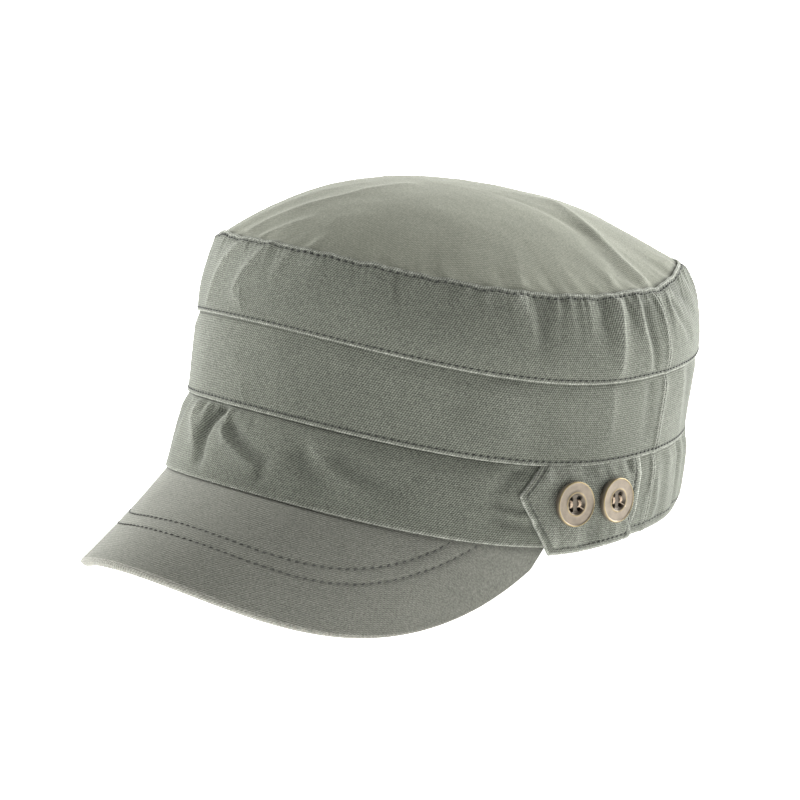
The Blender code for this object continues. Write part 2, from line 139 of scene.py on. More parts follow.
MIDDLE_RIDGES = (
    Ridge(((-5.2, 0.26), (-4.5, 0.17), (-2.9, 0.03)), 0.6, 0.3),
    Ridge(((-30.0, 0.90), (-22.0, 0.20)), 9.0, 0.35),
    Ridge(((10.0, 0.85), (14.0, 0.15)), 8.0, -0.35),
    Ridge(((58.0, 0.90), (64.0, 0.20)), 7.0, 0.40),
    Ridge(((84.0, 0.95), (85.0, 0.35)), 3.2, 0.55),
    Ridge(((96.5, 0.95), (97.5, 0.30)), 3.0, -0.60),
    Ridge(((103.0, 0.96), (102.6, 0.10)), 2.0, 0.45),
    Ridge(((112.0, 0.95), (115.0, 0.30)), 4.5, 0.80),
    Ridge(((118.0, 0.90), (121.0, 0.25)), 4.5, -0.70),
)

UPPER_RIDGES = (
    Ridge(((-14.9, 0.98), (-20.3, 0.69), (-23.2, 0.39), (-25.0, 0.12)), 4.2, 1.4),
    Ridge(((-4.6, 0.98), (-8.3, 0.70), (-10.7, 0.54), (-12.0, 0.34), (-8.7, 0.19)), 3.3, 1.1),
    Ridge(((2.7, 0.98), (2.1, 0.80), (0.1, 0.61)), 3.0, 0.8),
    Ridge(((11.6, 0.98), (9.3, 0.77)), 2.5, 0.6),
    Ridge(((31.3, 1.00), (32.0, 0.86), (32.8, 0.68)), 1.4, -1.0),
    Ridge(((-9.6, 0.38), (-9.0, 0.27), (-7.4, 0.05)), 0.6, 0.3),
    Ridge(((52.7, 0.98), (53.3, 0.70)), 2.5, 0.7),
    Ridge(((55.2, 0.98), (54.6, 0.74)), 2.0, -0.5),
    Ridge(((57.3, 0.99), (57.7, 0.83)), 1.6, -0.5),
    Ridge(((59.2, 0.99), (62.1, 0.74), (63.2, 0.49)), 3.4, 1.5),
    Ridge(((66.2, 0.99), (65.0, 0.41)), 4.6, -1.4),
    Ridge(((68.5, 0.99), (68.6, 0.84)), 1.6, 0.5),
    Ridge(((74.7, 0.99), (74.4, 0.84)), 1.6, 0.5),
    Ridge(((80.5, 0.99), (80.6, 0.84)), 1.6, 0.4),
    Ridge(((78.5, 0.99), (77.8, 0.61)), 3.0, 1.0),
    Ridge(((82.5, 0.98), (82.0, 0.55)), 3.4, -1.1),
    Ridge(((84.6, 0.99), (84.3, 0.76)), 1.8, 0.5),
    Ridge(((87.8, 0.99), (86.5, 0.67), (85.2, 0.09)), 3.0, 2.0),
    Ridge(((90.4, 0.99), (90.6, 0.70)), 2.2, -0.9),
    Ridge(((94.0, 0.99), (93.4, 0.55), (95.6, 0.13)), 2.9, 1.2),
    Ridge(((97.3, 0.99), (96.5, 0.66), (97.3, 0.26), (97.3, 0.09)), 2.6, -1.6),
    Ridge(((103.8, 0.98), (102.1, 0.63), (102.8, 0.21)), 2.2, 1.0),
    Ridge(((106.7, 0.98), (107.9, 0.71), (111.3, 0.42)), 3.8, 1.7),
    Ridge(((108.9, 0.76), (111.1, 0.52), (115.2, 0.35)), 2.6, -1.0),
    Ridge(((115.0, 0.96), (120.9, 0.62)), 5.0, -1.8),
    Ridge(((131.0, 0.98), (134.0, 0.50)), 4.6, 1.3),
    Ridge(((141.0, 0.98), (143.0, 0.70)), 2.4, -0.8),
    Ridge(((152.0, 0.98), (150.0, 0.45)), 5.0, -1.3),
    Ridge(((163.0, 0.98), (164.5, 0.72)), 2.6, 0.8),
    Ridge(((176.0, 0.98), (178.0, 0.40)), 4.6, 1.2),
    Ridge(((190.0, 0.98), (189.0, 0.70)), 2.6, -0.7),
    Ridge(((205.0, 0.98), (202.0, 0.45)), 5.0, -1.2),
    Ridge(((217.0, 0.98), (216.0, 0.72)), 2.2, 0.7),
    Ridge(((229.0, 0.98), (226.0, 0.50)), 4.8, 1.3),
    Ridge(((246.0, 0.98), (243.0, 0.45)), 4.2, -1.5),
    Ridge(((-94.0, 0.98), (-92.0, 0.20)), 3.2, 1.5),
    Ridge(((-88.0, 0.98), (-88.5, 0.72)), 2.0, -0.8),
    Ridge(((-83.0, 0.98), (-84.0, 0.50)), 3.6, -1.1),
    Ridge(((-76.5, 0.98), (-77.0, 0.76)), 1.9, 0.6),
    Ridge(((-70.0, 0.98), (-71.0, 0.45)), 3.4, 1.1),
    Ridge(((-56.0, 0.98), (-54.0, 0.55)), 3.6, -0.9),
    Ridge(((-45.0, 0.98), (-46.0, 0.70)), 3.0, 0.6),
)

CROWN_RIDGES = (
    Ridge(((-18.8, 0.97), (-18.6, 0.87), (-13.9, 0.71), (-6.5, 0.54), (-0.5, 0.34), (11.9, 0.17)), 4.0, 0.8),
    Ridge(((-10.5, 0.97), (-6.7, 0.87), (-2.3, 0.79)), 3.0, 0.6),
    Ridge(((-14.0, 0.96), (-8.0, 0.76)), 4.5, -0.4),
    Ridge(((7.3, 1.00), (9.0, 0.90)), 3.0, 0.5),
    Ridge(((40.0, 0.99), (46.0, 0.78)), 7.0, -0.5),
    Ridge(((62.0, 0.99), (66.0, 0.80)), 4.0, 0.6),
    Ridge(((88.9, 0.98), (96.6, 0.85)), 3.6, 0.8),
    Ridge(((103.8, 1.00), (104.3, 0.87), (107.0, 0.76), (117.0, 0.60), (128.0, 0.50)), 4.2, 2.1),
    Ridge(((97.0, 0.92), (100.5, 0.78), (108.0, 0.62)), 5.0, -1.1),
    Ridge(((120.0, 0.90), (135.0, 0.74), (155.0, 0.66)), 12.0, -0.5),
    Ridge(((152.0, 0.66), (170.0, 0.66), (200.0, 0.70)), 14.0, 1.4),
    Ridge(((127.0, 0.99), (120.0, 0.94)), 3.5, 1.2),
    Ridge(((212.0, 0.86), (230.0, 0.60)), 10.0, -1.7),
    Ridge(((176.0, 0.98), (178.0, 0.82)), 6.0, 0.8),
    Ridge(((255.0, 0.99), (258.0, 0.80)), 5.0, 0.9),
    Ridge(((288.0, 0.99), (284.0, 0.82)), 5.0, -0.8),
)

BAND_RIDGES = {
    Level.LOWER: LOWER_RIDGES,
    Level.MIDDLE: MIDDLE_RIDGES,
    Level.UPPER: UPPER_RIDGES,
}


def smooth_step(x: Array, low: float, high: float) -> Array:
    """Eases from 0 at low to 1 at high: three times the square less twice the cube."""
    share = np.clip((x - low) / (high - low), 0, 1)
    return share * share * (3 - 2 * share)


def bell(x: Array, width: float) -> Array:
    """Bell curve: e to the minus square of x over the width."""
    return np.exp(-((x / width) ** 2))


def lattice_noise(x: Array, y: Array, cell: float, seed: int) -> Array:
    """Smooth random heights from -1 to 1.

    Seeded numbers stand on a square lattice, and each point eases between its four neighbours.

    Args:
        x, y: positions in metres.
        cell: spacing of the lattice in metres.
        seed: picks the numbers.

    Returns:
        One height for each position.
    """
    size = 512
    numbers = np.random.default_rng(seed).uniform(-1, 1, (size, size))
    column, row = np.floor(x / cell), np.floor(y / cell)
    across = smooth_step(x / cell - column, 0, 1)
    up = smooth_step(y / cell - row, 0, 1)
    i, j = column.astype(int) % size, row.astype(int) % size
    right, above = (i + 1) % size, (j + 1) % size
    low = numbers[i, j] * (1 - across) + numbers[right, j] * across
    high = numbers[i, above] * (1 - across) + numbers[right, above] * across
    return low * (1 - up) + high * up


def crumple(x: Array, y: Array, seed: int) -> Array:
    """Soft unevenness of washed cloth: four octaves of noise, each half the last.

    Args:
        x, y: positions in metres.
        seed: picks the numbers.

    Returns:
        Heights from -1 to 1.
    """
    coarsest = 16 * MM
    strengths = [2.0**-octave for octave in range(4)]
    octaves = [
        strength * lattice_noise(x, y, strength * coarsest, seed + octave)
        for octave, strength in enumerate(strengths)
    ]
    return sum(octaves) / sum(strengths)


def crest(distance: Array, width: float) -> Array:
    """Sharp fold: falls off evenly in shares of the width, rounded over at its very top."""
    rounding = 0.22 * width
    return np.exp(-(np.hypot(distance, rounding) - rounding) / (0.72 * width))


def segment_distance(x: Array, y: Array, start: Array, end: Array) -> tuple[Array, Array]:
    """Distance of each position from one straight segment.

    Args:
        x, y: positions in metres.
        start, end: the segment's ends.

    Returns:
        The distances, and the shares of the segment's length where they are shortest.
    """
    run = end - start
    share = np.clip(((x - start[0]) * run[0] + (y - start[1]) * run[1]) / (run @ run), 0, 1)
    return np.hypot(x - start[0] - share * run[0], y - start[1] - share * run[1]), share


def ridge_field(x: Array, y: Array, ridges: list[tuple[Array, float, float]], turn: float) -> Array:
    """Height of a set of ridges.

    Across the distance from its line a ridge has a sharp crest, but a valley, a narrow ridge and a
    wide hump are round. All lose half of their height from the line's start to its end.

    Args:
        x, y: positions in metres.
        ridges: (points of the line, width, rise) in metres.
        turn: distance after which x meets itself.

    Returns:
        The sum of their heights in metres.
    """
    narrowest_fold, widest_fold = 2.2 * MM, 10 * MM
    total = np.zeros(np.broadcast(x, y).shape)
    for line, width, rise in ridges:
        off_x = (x - line[0, 0] + turn / 2) % turn - turn / 2
        off_y = y - line[0, 1]
        nearest = np.full(total.shape, np.inf)
        place = np.zeros(total.shape)
        corners = line - line[0]
        for index, (start, end) in enumerate(zip(corners[:-1], corners[1:])):
            distance, share = segment_distance(off_x, off_y, start, end)
            place = np.where(distance < nearest, (index + share) / (len(line) - 1), place)
            nearest = np.minimum(nearest, distance)
        sharp = rise > 0 and narrowest_fold < width < widest_fold
        profile = crest(nearest, width) if sharp else bell(nearest, width)
        total += rise * (1 - 0.5 * place**2) * profile
    return total


@dataclass(frozen=True)
class CapForm:
    """Sizes of the cap and the smooth surfaces that follow from them."""

    half_width: float = 0.0876
    half_length: float = 0.09875
    heights: tuple[float, ...] = (0.0274, 0.0279, 0.0301)
    front_rise: float = 0.0156
    crown_rise: float = 0.0262
    cloth: float = 0.0008
    gap: float = 0.0002
    lap: float = 0.0040
    tuck: float = 0.0055
    side_seam_deg: float = 102.5
    rings: tuple[Ring, ...] = (
        Ring(1.000, 1.000, -0.095, 1.00),
        Ring(0.989, 0.964, -0.032, 0.89),
        Ring(0.988, 0.974, 0.009, 1.01),
        Ring(0.912, 0.874, -0.010, 0.81),
    )
    # How far each band swells at the front and at the back, as shares of its height
    bellies: tuple[tuple[float, float], ...] = ((0.033, 0.015), (0.0, 0.0), (0.060, 0.120))
    gather_count: int = 12
    gather_depth: float = 0.0011
    dome_power: float = 2.35
    dome_centre: float = -0.165
    dome_back_sag: float = 0.32
    dome_front_lift: float = 0.25
    peak_length: float = 0.0453
    peak_thickness: float = 0.0026
    peak_end_deg: float = 75.0
    peak_cut_share: float = 0.975
    peak_slope_deg: float = 23.7
    peak_end_slope_deg: float = 54.9
    peak_turn_up: float = 0.0030
    peak_splay: float = -0.16
    seam_bumps: tuple[Bump, ...] = (
        Bump(105.5, 3.5, -1.3),
        Bump(130.0, 12.0, 2.5),
        Bump(160.0, 12.0, -0.8),
        Bump(-29.0, 4.0, 0.9),
        Bump(-18.0, 5.0, -0.4),
        Bump(240.0, 8.0, 1.5),
    )
    ripple: float = 0.00014
    lean_deg: float = -7.97067
    rest_shift: tuple[float, float, float] = (-0.00207373, 0.02411274, 0.01199242)

    @property
    def inset(self) -> float:
        """Depth at which a piece lies under its neighbour: one cloth and one gap."""
        return self.cloth + self.gap

    @property
    def turn(self) -> float:
        """Length once round the wall."""
        return float(self.around(np.array(TAU)))

    def around(self, t: Array) -> Array:
        """Distance along the wall, by adding up short chords of the rim's ellipse.

        Args:
            t: angles from the middle of the front.

        Returns:
            The distances, negative on the wearer's right.
        """
        samples = np.linspace(-TAU, TAU, 2881)
        speed = np.hypot(self.half_width * np.cos(samples), self.half_length * np.sin(samples))
        travelled = np.concatenate([[0], np.cumsum((speed[1:] + speed[:-1]) / 2)])
        travelled *= samples[1] - samples[0]
        return np.interp(t, samples, travelled - travelled[len(samples) // 2])

    def angle_at(self, distance: Array) -> Array:
        """Angle that lies a distance round the wall, the opposite of around."""
        samples = np.linspace(-TAU, TAU, 2881)
        return np.interp(distance, self.around(samples), samples)

    def seam_line(self, level: int, t: Array) -> Array:
        """An ellipse, whose front half rises with the square of the cosine of the angle.

        Args:
            level: number of the seam, 0 at the rim.
            t: angle of each point.

        Returns:
            One point for each angle.
        """
        ring = self.rings[level]
        x = self.half_width * ring.width * np.sin(t)
        y = self.half_length * (ring.centre - ring.length * np.cos(t))
        z = sum(self.heights[:level]) + self.front_rise * ring.rise * np.clip(np.cos(t), 0, 1) ** 2
        if level == len(self.heights):
            z = z + self.top_seam_wave(t)
        return np.stack(np.broadcast_arrays(x, y, z), axis=-1)

    def top_seam_wave(self, t: Array) -> Array:
        """Rise and fall of the top seam: a few bell curves and the fine ripple.

        Args:
            t: angle of each point.

        Returns:
            Heights above the plain seam line.
        """
        degrees = np.degrees(t)
        wave = self.seam_ripple(t)
        for bump in self.seam_bumps:
            off = (degrees - bump.middle + 180) % 360 - 180
            wave = wave + MM * bump.rise_mm * bell(off, bump.width)
        return wave

    def seam_ripple(self, t: Array) -> Array:
        """Fine ripple of the top seam: three cosines with 23, 37 and 61 waves round the cap."""
        return self.ripple * (np.cos(23 * t + 1) + np.cos(37 * t + 2) + np.cos(61 * t + 4))

    def smooth_wall(self, level: int, share: Array, t: Array) -> Array:
        """Straight from seam line to seam line, plus a belly that is a parabola of the share.

        Args:
            level: the band.
            share, t: height share and angle of each point.

        Returns:
            One point for each pair.
        """
        front, back = self.bellies[level]
        swell = front + (back - front) * (1 - np.cos(t)) / 2
        swell = self.heights[level] * swell * 4 * share * (1 - share)
        out = np.stack(np.broadcast_arrays(np.sin(t), -np.cos(t), 0 * t), axis=-1)
        mix = np.expand_dims(share, -1)
        below, above = self.seam_line(level, t), self.seam_line(level + 1, t)
        return below * (1 - mix) + above * mix + out * np.expand_dims(swell, -1)

    def wall_normal(self, level: int, share: Array, t: Array) -> Array:
        """Outward direction of the smooth wall: its slope round the cap crossed with that up it.

        Args:
            level: the band.
            share, t: height share and angle of each point.

        Returns:
            One unit vector for each pair.
        """
        step = 1e-4
        around = self.smooth_wall(level, share, t + step) - self.smooth_wall(level, share, t - step)
        upward = self.smooth_wall(level, share + step, t) - self.smooth_wall(level, share - step, t)
        normal = np.cross(around, upward)
        return normal / np.linalg.norm(normal, axis=-1, keepdims=True)

    def wall(self, level: int, share: Array, t: Array, push: Array | float = 0.0) -> Array:
        """The smooth wall moved outwards along its normal by the push."""
        push = np.expand_dims(np.broadcast_to(push, np.broadcast(share, t).shape), -1)
        return self.smooth_wall(level, share, t) + self.wall_normal(level, share, t) * push

    def dome(self, radius: Array, t: Array) -> Array:
        """The top inside its seam line.

        The plan shrinks evenly towards the centre. The height is the seam's near the edge and rises by
        the crown rise times one less a power of the radius, less a sag towards the back. The seam's
        ripple dies away inwards with a high power of the radius.

        Args:
            radius, t: radius share and angle of each point.

        Returns:
            One point for each pair.
        """
        edge = self.wall(Level.UPPER, np.ones_like(t), t, -self.inset)
        ring = self.rings[-1]
        middle = np.array((0, self.half_length * (ring.centre + self.dome_centre)))
        seam_height = sum(self.heights) + self.dome_front_lift * self.front_rise * ring.rise
        result = np.empty_like(edge)
        mix = np.expand_dims(radius, -1)
        result[..., :2] = middle * (1 - mix) + edge[..., :2] * mix
        backness = np.clip(-np.cos(t), 0, 1)
        ripple = self.seam_ripple(t)
        result[..., 2] = (
            (edge[..., 2] - ripple) * radius**2
            + ripple * radius**16
            + seam_height * (1 - radius**2)
            + self.crown_rise * (1 - radius**self.dome_power)
            - self.dome_back_sag * self.crown_rise * backness * radius**1.5 * (1 - radius)
        )
        return result

    def peak_reach(self, t: Array) -> Array:
        """Length of the peak ahead of the wall, which falls with the fourth power of the angle."""
        return self.peak_length * (1 - np.abs(t / math.radians(self.peak_end_deg)) ** 4)

    def peak(self, share: Array, t: Array) -> Array:
        """The peak's upper face, from its root at share 0 to its edge at 1.

        Its slope steepens with the square of the angle, and its ends splay a little.

        Args:
            share, t: share of the reach and angle of each point.

        Returns:
            One point for each pair.
        """
        end = math.radians(self.peak_end_deg)
        root = self.wall(Level.LOWER, np.zeros_like(t), t, -self.inset)
        steeper = self.peak_end_slope_deg - self.peak_slope_deg
        slope = np.radians(self.peak_slope_deg + steeper * (t / end) ** 2)
        heading = self.peak_splay * t
        run = share * self.peak_reach(t) + self.inset * np.minimum(1, 8 * share)
        x = root[..., 0] + run * np.sin(heading)
        y = root[..., 1] - run * np.cos(heading)
        z = root[..., 2] - 2 * self.gap - run * np.tan(slope)
        return np.stack([x, y, z], axis=-1)

    def rest(self, points: Array) -> Array:
        """Leans points back and moves them as the cap rests."""
        return self.rest_direction(points) + np.array(self.rest_shift)

    def rest_direction(self, directions: Array) -> Array:
        """Turns directions about the X axis as the cap leans.

        Args:
            directions: one for each row of the last axis.

        Returns:
            The turned directions.
        """
        lean = math.radians(self.lean_deg)
        y = directions[..., 1] * math.cos(lean) - directions[..., 2] * math.sin(lean)
        z = directions[..., 1] * math.sin(lean) + directions[..., 2] * math.cos(lean)
        return np.stack([directions[..., 0], y, z], axis=-1)


def linear(tone: str) -> tuple[float, float, float, float]:
    """Linear red, green and blue of an sRGB hex value, with an alpha of 1."""
    channels = (int(tone[i : i + 2], 16) / 255 for i in (0, 2, 4))
    return (*(c / 12.92 if c <= 0.04045 else ((c + 0.055) / 1.055) ** 2.4 for c in channels), 1.0)


def fill(tree: NodeTree, node: Node, sockets: dict) -> None:
    """Sets or links inputs of a node.

    Args:
        tree: the node tree of a material.
        node: one of its nodes.
        sockets: value or other node's output for each input, by name or number.
    """
    for name, value in sockets.items():
        if isinstance(value, NodeSocket):
            tree.links.new(value, node.inputs[name])
        else:
            node.inputs[name].default_value = value


def add_node(tree: NodeTree, kind: str, sockets: dict | None = None, **settings: object) -> Node:
    """Adds a node.

    Args:
        tree: the node tree of a material.
        kind: the node's type name, without its prefix.
        sockets: value or other node's output for each input, by name or number.
        settings: the node's own options.

    Returns:
        The new node.
    """
    node = tree.nodes.new("ShaderNode" + kind)
    for name, value in settings.items():
        setattr(node, name, value)
    fill(tree, node, sockets or {})
    return node


def start_material(name: str) -> tuple[Material, NodeTree, Node]:
    """Starts a material.

    Args:
        name: what the real material is.

    Returns:
        The material, its node tree and its Principled shader.
    """
    material = bpy.data.materials.new(name)
    material.use_nodes = True
    return material, material.node_tree, material.node_tree.nodes["Principled BSDF"]


def worn_and_painted_shade_colour(
    tree: NodeTree, tones: tuple[str, str, str], patchy: NodeSocket | float = 1.0
) -> NodeSocket:
    """Colour that turns worn where a piece is rubbed, and deep where it takes painted shade.

    Args:
        tree: the node tree of a material.
        tones: the plain, the worn and the deep colour, as sRGB hex values.
        patchy: share of the wear that takes hold at each spot.

    Returns:
        The colour's output.
    """
    plain, worn, deep = (linear(tone) for tone in tones)
    # The wear attribute is real wear, with painted highlight on the cloth's crests; the shade attribute is
    # painted shade, and on the brass also the dish's dark film
    wear = add_node(tree, "Attribute", attribute_name="wear").outputs["Fac"]
    shade = add_node(tree, "Attribute", attribute_name="shade").outputs["Fac"]
    rubbed = add_node(tree, "Math", {0: wear, 1: patchy}, operation="MULTIPLY").outputs["Value"]
    # A Mix node's colour sockets are its inputs 6 and 7 and its output 2
    mixed = add_node(tree, "Mix", {0: rubbed, 6: plain, 7: worn}, data_type="RGBA").outputs[2]
    return add_node(tree, "Mix", {0: shade, 6: mixed, 7: deep}, data_type="RGBA").outputs[2]


@dataclass(frozen=True)
class TwillFinish:
    """Cotton twill, piece-dyed and then enzyme-washed.

    Diagonal ribs of floating threads rise to the right, the nap is dull with a faint fuzz at grazing
    angles, and the wash has rubbed seam edges pale. Fold crests are paler too, partly from the wash
    and partly as painted highlight, and valleys, grooves and overlaps take painted shade.
    """

    name: str
    tone: str
    worn: str
    deep: str
    rib_mm: float = 0.78
    float_mm: float = 0.74
    slub_mm: float = 0.65
    drift_mm: float = 6.0
    patch_mm: float = 28.0
    rib_angle_deg: float = 58.0
    rib_contrast: float = 0.64
    grain_contrast: float = 0.40
    patch_contrast: float = 0.07

    def ribs(self, tree: NodeTree, cloth: NodeSocket) -> NodeSocket:
        """Height of the weave from -1.7 to 1.7: a sine across the ribs and one along the floats.

        A slow drift bends both a little, as the threads of washed cloth do.

        Args:
            tree: the node tree of the material.
            cloth: place on the flat cloth.

        Returns:
            The height's output.
        """
        drift = add_node(
            tree, "TexNoise", {"Vector": cloth, "Scale": 1 / (self.drift_mm * MM), "Detail": 2.0}
        ).outputs["Color"]
        nudge = add_node(
            tree, "VectorMath", {0: drift, 1: (0.5 * MM,) * 3, 2: cloth}, operation="MULTIPLY_ADD"
        ).outputs["Vector"]
        angle = math.radians(self.rib_angle_deg)
        across = TAU / (self.rib_mm * MM)
        along = TAU / (self.float_mm * MM)
        waves = []
        for vector in ((math.sin(angle) * across, -math.cos(angle) * across, 0), (0, along, 0)):
            phase = add_node(tree, "VectorMath", {0: nudge, 1: vector}, operation="DOT_PRODUCT")
            wave = add_node(tree, "Math", {0: phase.outputs["Value"]}, operation="SINE")
            waves.append(wave.outputs["Value"])
        rib = add_node(tree, "Math", {0: waves[1], 1: 0.7, 2: waves[0]}, operation="MULTIPLY_ADD")
        return rib.outputs["Value"]

    def make(self) -> Material:
        """Builds the material.

        Real ribs are 0.5 mm apart and slubs 0.3 mm thick. Both are drawn coarser so that they show.

        Returns:
            The material.
        """
        material, tree, shader = start_material(self.name)
        cloth = add_node(tree, "UVMap", uv_map="cloth").outputs["UV"]
        spot = add_node(tree, "TexCoord").outputs["Object"]
        rib = self.ribs(tree, cloth)
        slub = add_node(
            tree, "TexNoise", {"Vector": spot, "Scale": 1 / (self.slub_mm * MM), "Detail": 2.0}
        ).outputs["Fac"]
        patch = add_node(
            tree,
            "TexNoise",
            {"Vector": cloth, "Scale": 1 / (self.patch_mm * MM), "Detail": 4.0, "Roughness": 0.65},
        ).outputs["Fac"]
        tint = 1.0
        for wave, low, high, contrast in (
            (rib, -1.7, 1.7, self.rib_contrast),
            (slub, 0.25, 0.75, self.grain_contrast),
            (patch, 0.3, 0.7, self.patch_contrast),
        ):
            share = add_node(tree, "MapRange", {0: wave, 1: low, 2: high, 3: 1 - contrast, 4: 1 + contrast})
            product = add_node(tree, "Math", {0: share.outputs["Result"], 1: tint}, operation="MULTIPLY")
            tint = product.outputs["Value"]
        patchy = add_node(tree, "MapRange", {0: slub, 1: 0.3, 2: 0.65, 3: 0.55, 4: 1.0}).outputs["Result"]
        colour = worn_and_painted_shade_colour(tree, (self.tone, self.worn, self.deep), patchy)
        toned = add_node(tree, "VectorMath", {0: colour, "Scale": tint}, operation="SCALE")
        height = add_node(tree, "Math", {0: slub, 1: 0.8, 2: rib}, operation="MULTIPLY_ADD")
        bump = add_node(
            tree, "Bump", {"Strength": 0.32, "Distance": 0.06 * MM, "Height": height.outputs["Value"]}
        )
        looks = {
            "Base Color": toned.outputs["Vector"],
            "Normal": bump.outputs["Normal"],
            "Roughness": 0.92,
            "Specular IOR Level": 0.25,
            "Sheen Weight": 0.04,
            "Sheen Roughness": 0.5,
        }
        fill(tree, shader, looks)
        return material


@dataclass(frozen=True)
class ThreadFinish:
    """Spun polyester sewing thread, dyed to the cloth.

    Two plies twist along each stitch, so it is finely striped and a little glossier than the twill.
    """

    name: str
    tone: str
    ply_mm: float = 0.5

    def make(self) -> Material:
        """Builds the material: a twist in stripes along the thread's own length.

        Returns:
            The material.
        """
        material, tree, shader = start_material(self.name)
        length = add_node(tree, "UVMap", uv_map="cloth").outputs["UV"]
        stripes = (TAU / (self.ply_mm * MM), 2 * TAU, 0)
        twist = add_node(tree, "VectorMath", {0: length, 1: stripes}, operation="DOT_PRODUCT")
        ply = add_node(tree, "Math", {0: twist.outputs["Value"]}, operation="SINE").outputs["Value"]
        tint = add_node(tree, "MapRange", {0: ply, 1: -1.0, 2: 1.0, 3: 0.75, 4: 1.25}).outputs["Result"]
        toned = add_node(tree, "VectorMath", {0: linear(self.tone)[:3], "Scale": tint}, operation="SCALE")
        bump = add_node(tree, "Bump", {"Strength": 0.4, "Distance": 0.05 * MM, "Height": ply})
        looks = {
            "Base Color": toned.outputs["Vector"],
            "Normal": bump.outputs["Normal"],
            "Roughness": 0.7,
            "Sheen Weight": 0.1,
        }
        fill(tree, shader, looks)
        return material


@dataclass(frozen=True)
class BrassFinish:
    """Cast brass, darkened in a bath and relieved on a wheel.

    The flat ring keeps a greyish bronze film, the rims are rubbed back to yellow metal, and the
    dish stays dark. The thread holes are painted near black as their shadow.
    """

    name: str
    film: str = "8A8072"
    rim: str = "9C8A58"
    dark: str = "1A1816"
    grain_mm: float = 0.35
    cloud_mm: float = 3.0

    def make(self) -> Material:
        """Builds the material. The casting's 0.1 mm grain is drawn coarser so that it shows.

        Returns:
            The material.
        """
        material, tree, shader = start_material(self.name)
        spot = add_node(tree, "TexCoord").outputs["Object"]
        grain = add_node(
            tree, "TexNoise", {"Vector": spot, "Scale": 1 / (self.grain_mm * MM), "Detail": 4.0}
        ).outputs["Fac"]
        cloud = add_node(
            tree, "TexNoise", {"Vector": spot, "Scale": 1 / (self.cloud_mm * MM), "Detail": 3.0}
        ).outputs["Fac"]
        colour = worn_and_painted_shade_colour(tree, (self.film, self.rim, self.dark))
        tint = add_node(tree, "MapRange", {0: cloud, 1: 0.3, 2: 0.7, 3: 0.85, 4: 1.12}).outputs["Result"]
        toned = add_node(tree, "VectorMath", {0: colour, "Scale": tint}, operation="SCALE")
        rough = add_node(tree, "MapRange", {0: grain, 1: 0.3, 2: 0.7, 3: 0.40, 4: 0.58})
        bump = add_node(tree, "Bump", {"Strength": 0.25, "Distance": 0.03 * MM, "Height": grain})
        looks = {
            "Base Color": toned.outputs["Vector"],
            "Normal": bump.outputs["Normal"],
            "Roughness": rough.outputs["Result"],
            "Metallic": 0.7,
        }
        fill(tree, shader, looks)
        return material


Finish = TwillFinish | ThreadFinish | BrassFinish

# The bands' twill has its ribs in bold light and dark: the weave's own pattern, made bolder as painted light
# and shade for the light that rakes across the wall
BODY_TWILL = TwillFinish("washed cotton twill", "6C6F65", "A6A89E", "42443E")
# The top is seen at a low angle, where its ribs run together into an even grey-green
# Its tone is lighter than the bands': partly the top's own tone, partly painted light for the light that
# falls on the top
CROWN_TWILL = TwillFinish(
    "washed cotton twill of the top",
    "818376",
    "AEB0A4",
    "44463F",
    rib_contrast=0.20,
    grain_contrast=0.24,
)
# Stretched over its stiffener, the peak's twill looks smoother, with its ribs further apart
# Its tone is lighter than the bands': partly its own tone, partly painted light
PEAK_TWILL = TwillFinish(
    "washed cotton twill of the peak",
    "7F8077",
    "BAB8AE",
    "42443F",
    rib_mm=1.05,
    float_mm=0.95,
    rib_contrast=0.36,
    grain_contrast=0.30,
)
# Seam thread, much darker than the cloth
SEAM_THREAD = ThreadFinish("spun polyester seam thread", "2C2E29")
# On the peak and the tab's point the thread has faded too
PALE_THREAD = ThreadFinish("washed polyester topstitch thread", "4E504A")
# The buttons' thread is undyed, and stands out light against the dark dish
TAN_THREAD = ThreadFinish("spun polyester button thread", "D8C2A8")
# Dull bronze rings with yellower rims
BRASS = BrassFinish("antique cast brass")


def dressed(piece: Object, finish: Finish) -> Object:
    """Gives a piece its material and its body.

    Args:
        piece: the new object.
        finish: one of the finishes; its material is made once.

    Returns:
        The same object.
    """
    material = bpy.data.materials.get(finish.name) or finish.make()
    piece.data.materials.append(material)
    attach(piece, BODY)
    return piece


def mesh_object(name: str, points: Array, faces: list[Array], data: Array) -> Object:
    """Puts arrays into a new mesh object.

    Points that the cap's weight would press below the ground rest on it.

    Args:
        name: the piece's name.
        points: corner positions, one row each.
        faces: corner numbers, one array for each count of corners.
        data: for each point its place on the flat cloth (two lengths), its wear and its shade.

    Returns:
        The object, shaded smooth, with the UV map and both attributes.
    """
    points[:, 2] = np.maximum(points[:, 2], 0)
    mesh = bpy.data.meshes.new(name)
    corners = np.concatenate([part.ravel() for part in faces]).astype(np.int32)
    counts = np.concatenate([np.full(len(part), part.shape[1]) for part in faces])
    starts = np.concatenate([[0], np.cumsum(counts)[:-1]]).astype(np.int32)
    mesh.vertices.add(len(points))
    mesh.vertices.foreach_set("co", points.astype(np.float32).ravel())
    mesh.loops.add(len(corners))
    mesh.loops.foreach_set("vertex_index", corners)
    mesh.polygons.add(len(starts))
    mesh.polygons.foreach_set("loop_start", starts)
    mesh.update(calc_edges=True)
    mesh.validate()
    mesh.shade_smooth()
    flat = mesh.uv_layers.new(name="cloth")
    flat.uv.foreach_set("vector", data[corners, :2].astype(np.float32).ravel())
    for column, attribute in ((2, "wear"), (3, "shade")):
        layer = mesh.attributes.new(attribute, "FLOAT", "POINT")
        layer.data.foreach_set("value", np.clip(data[:, column], 0, 1).astype(np.float32))
    piece = bpy.data.objects.new(name, mesh)
    bpy.context.scene.collection.objects.link(piece)
    return piece


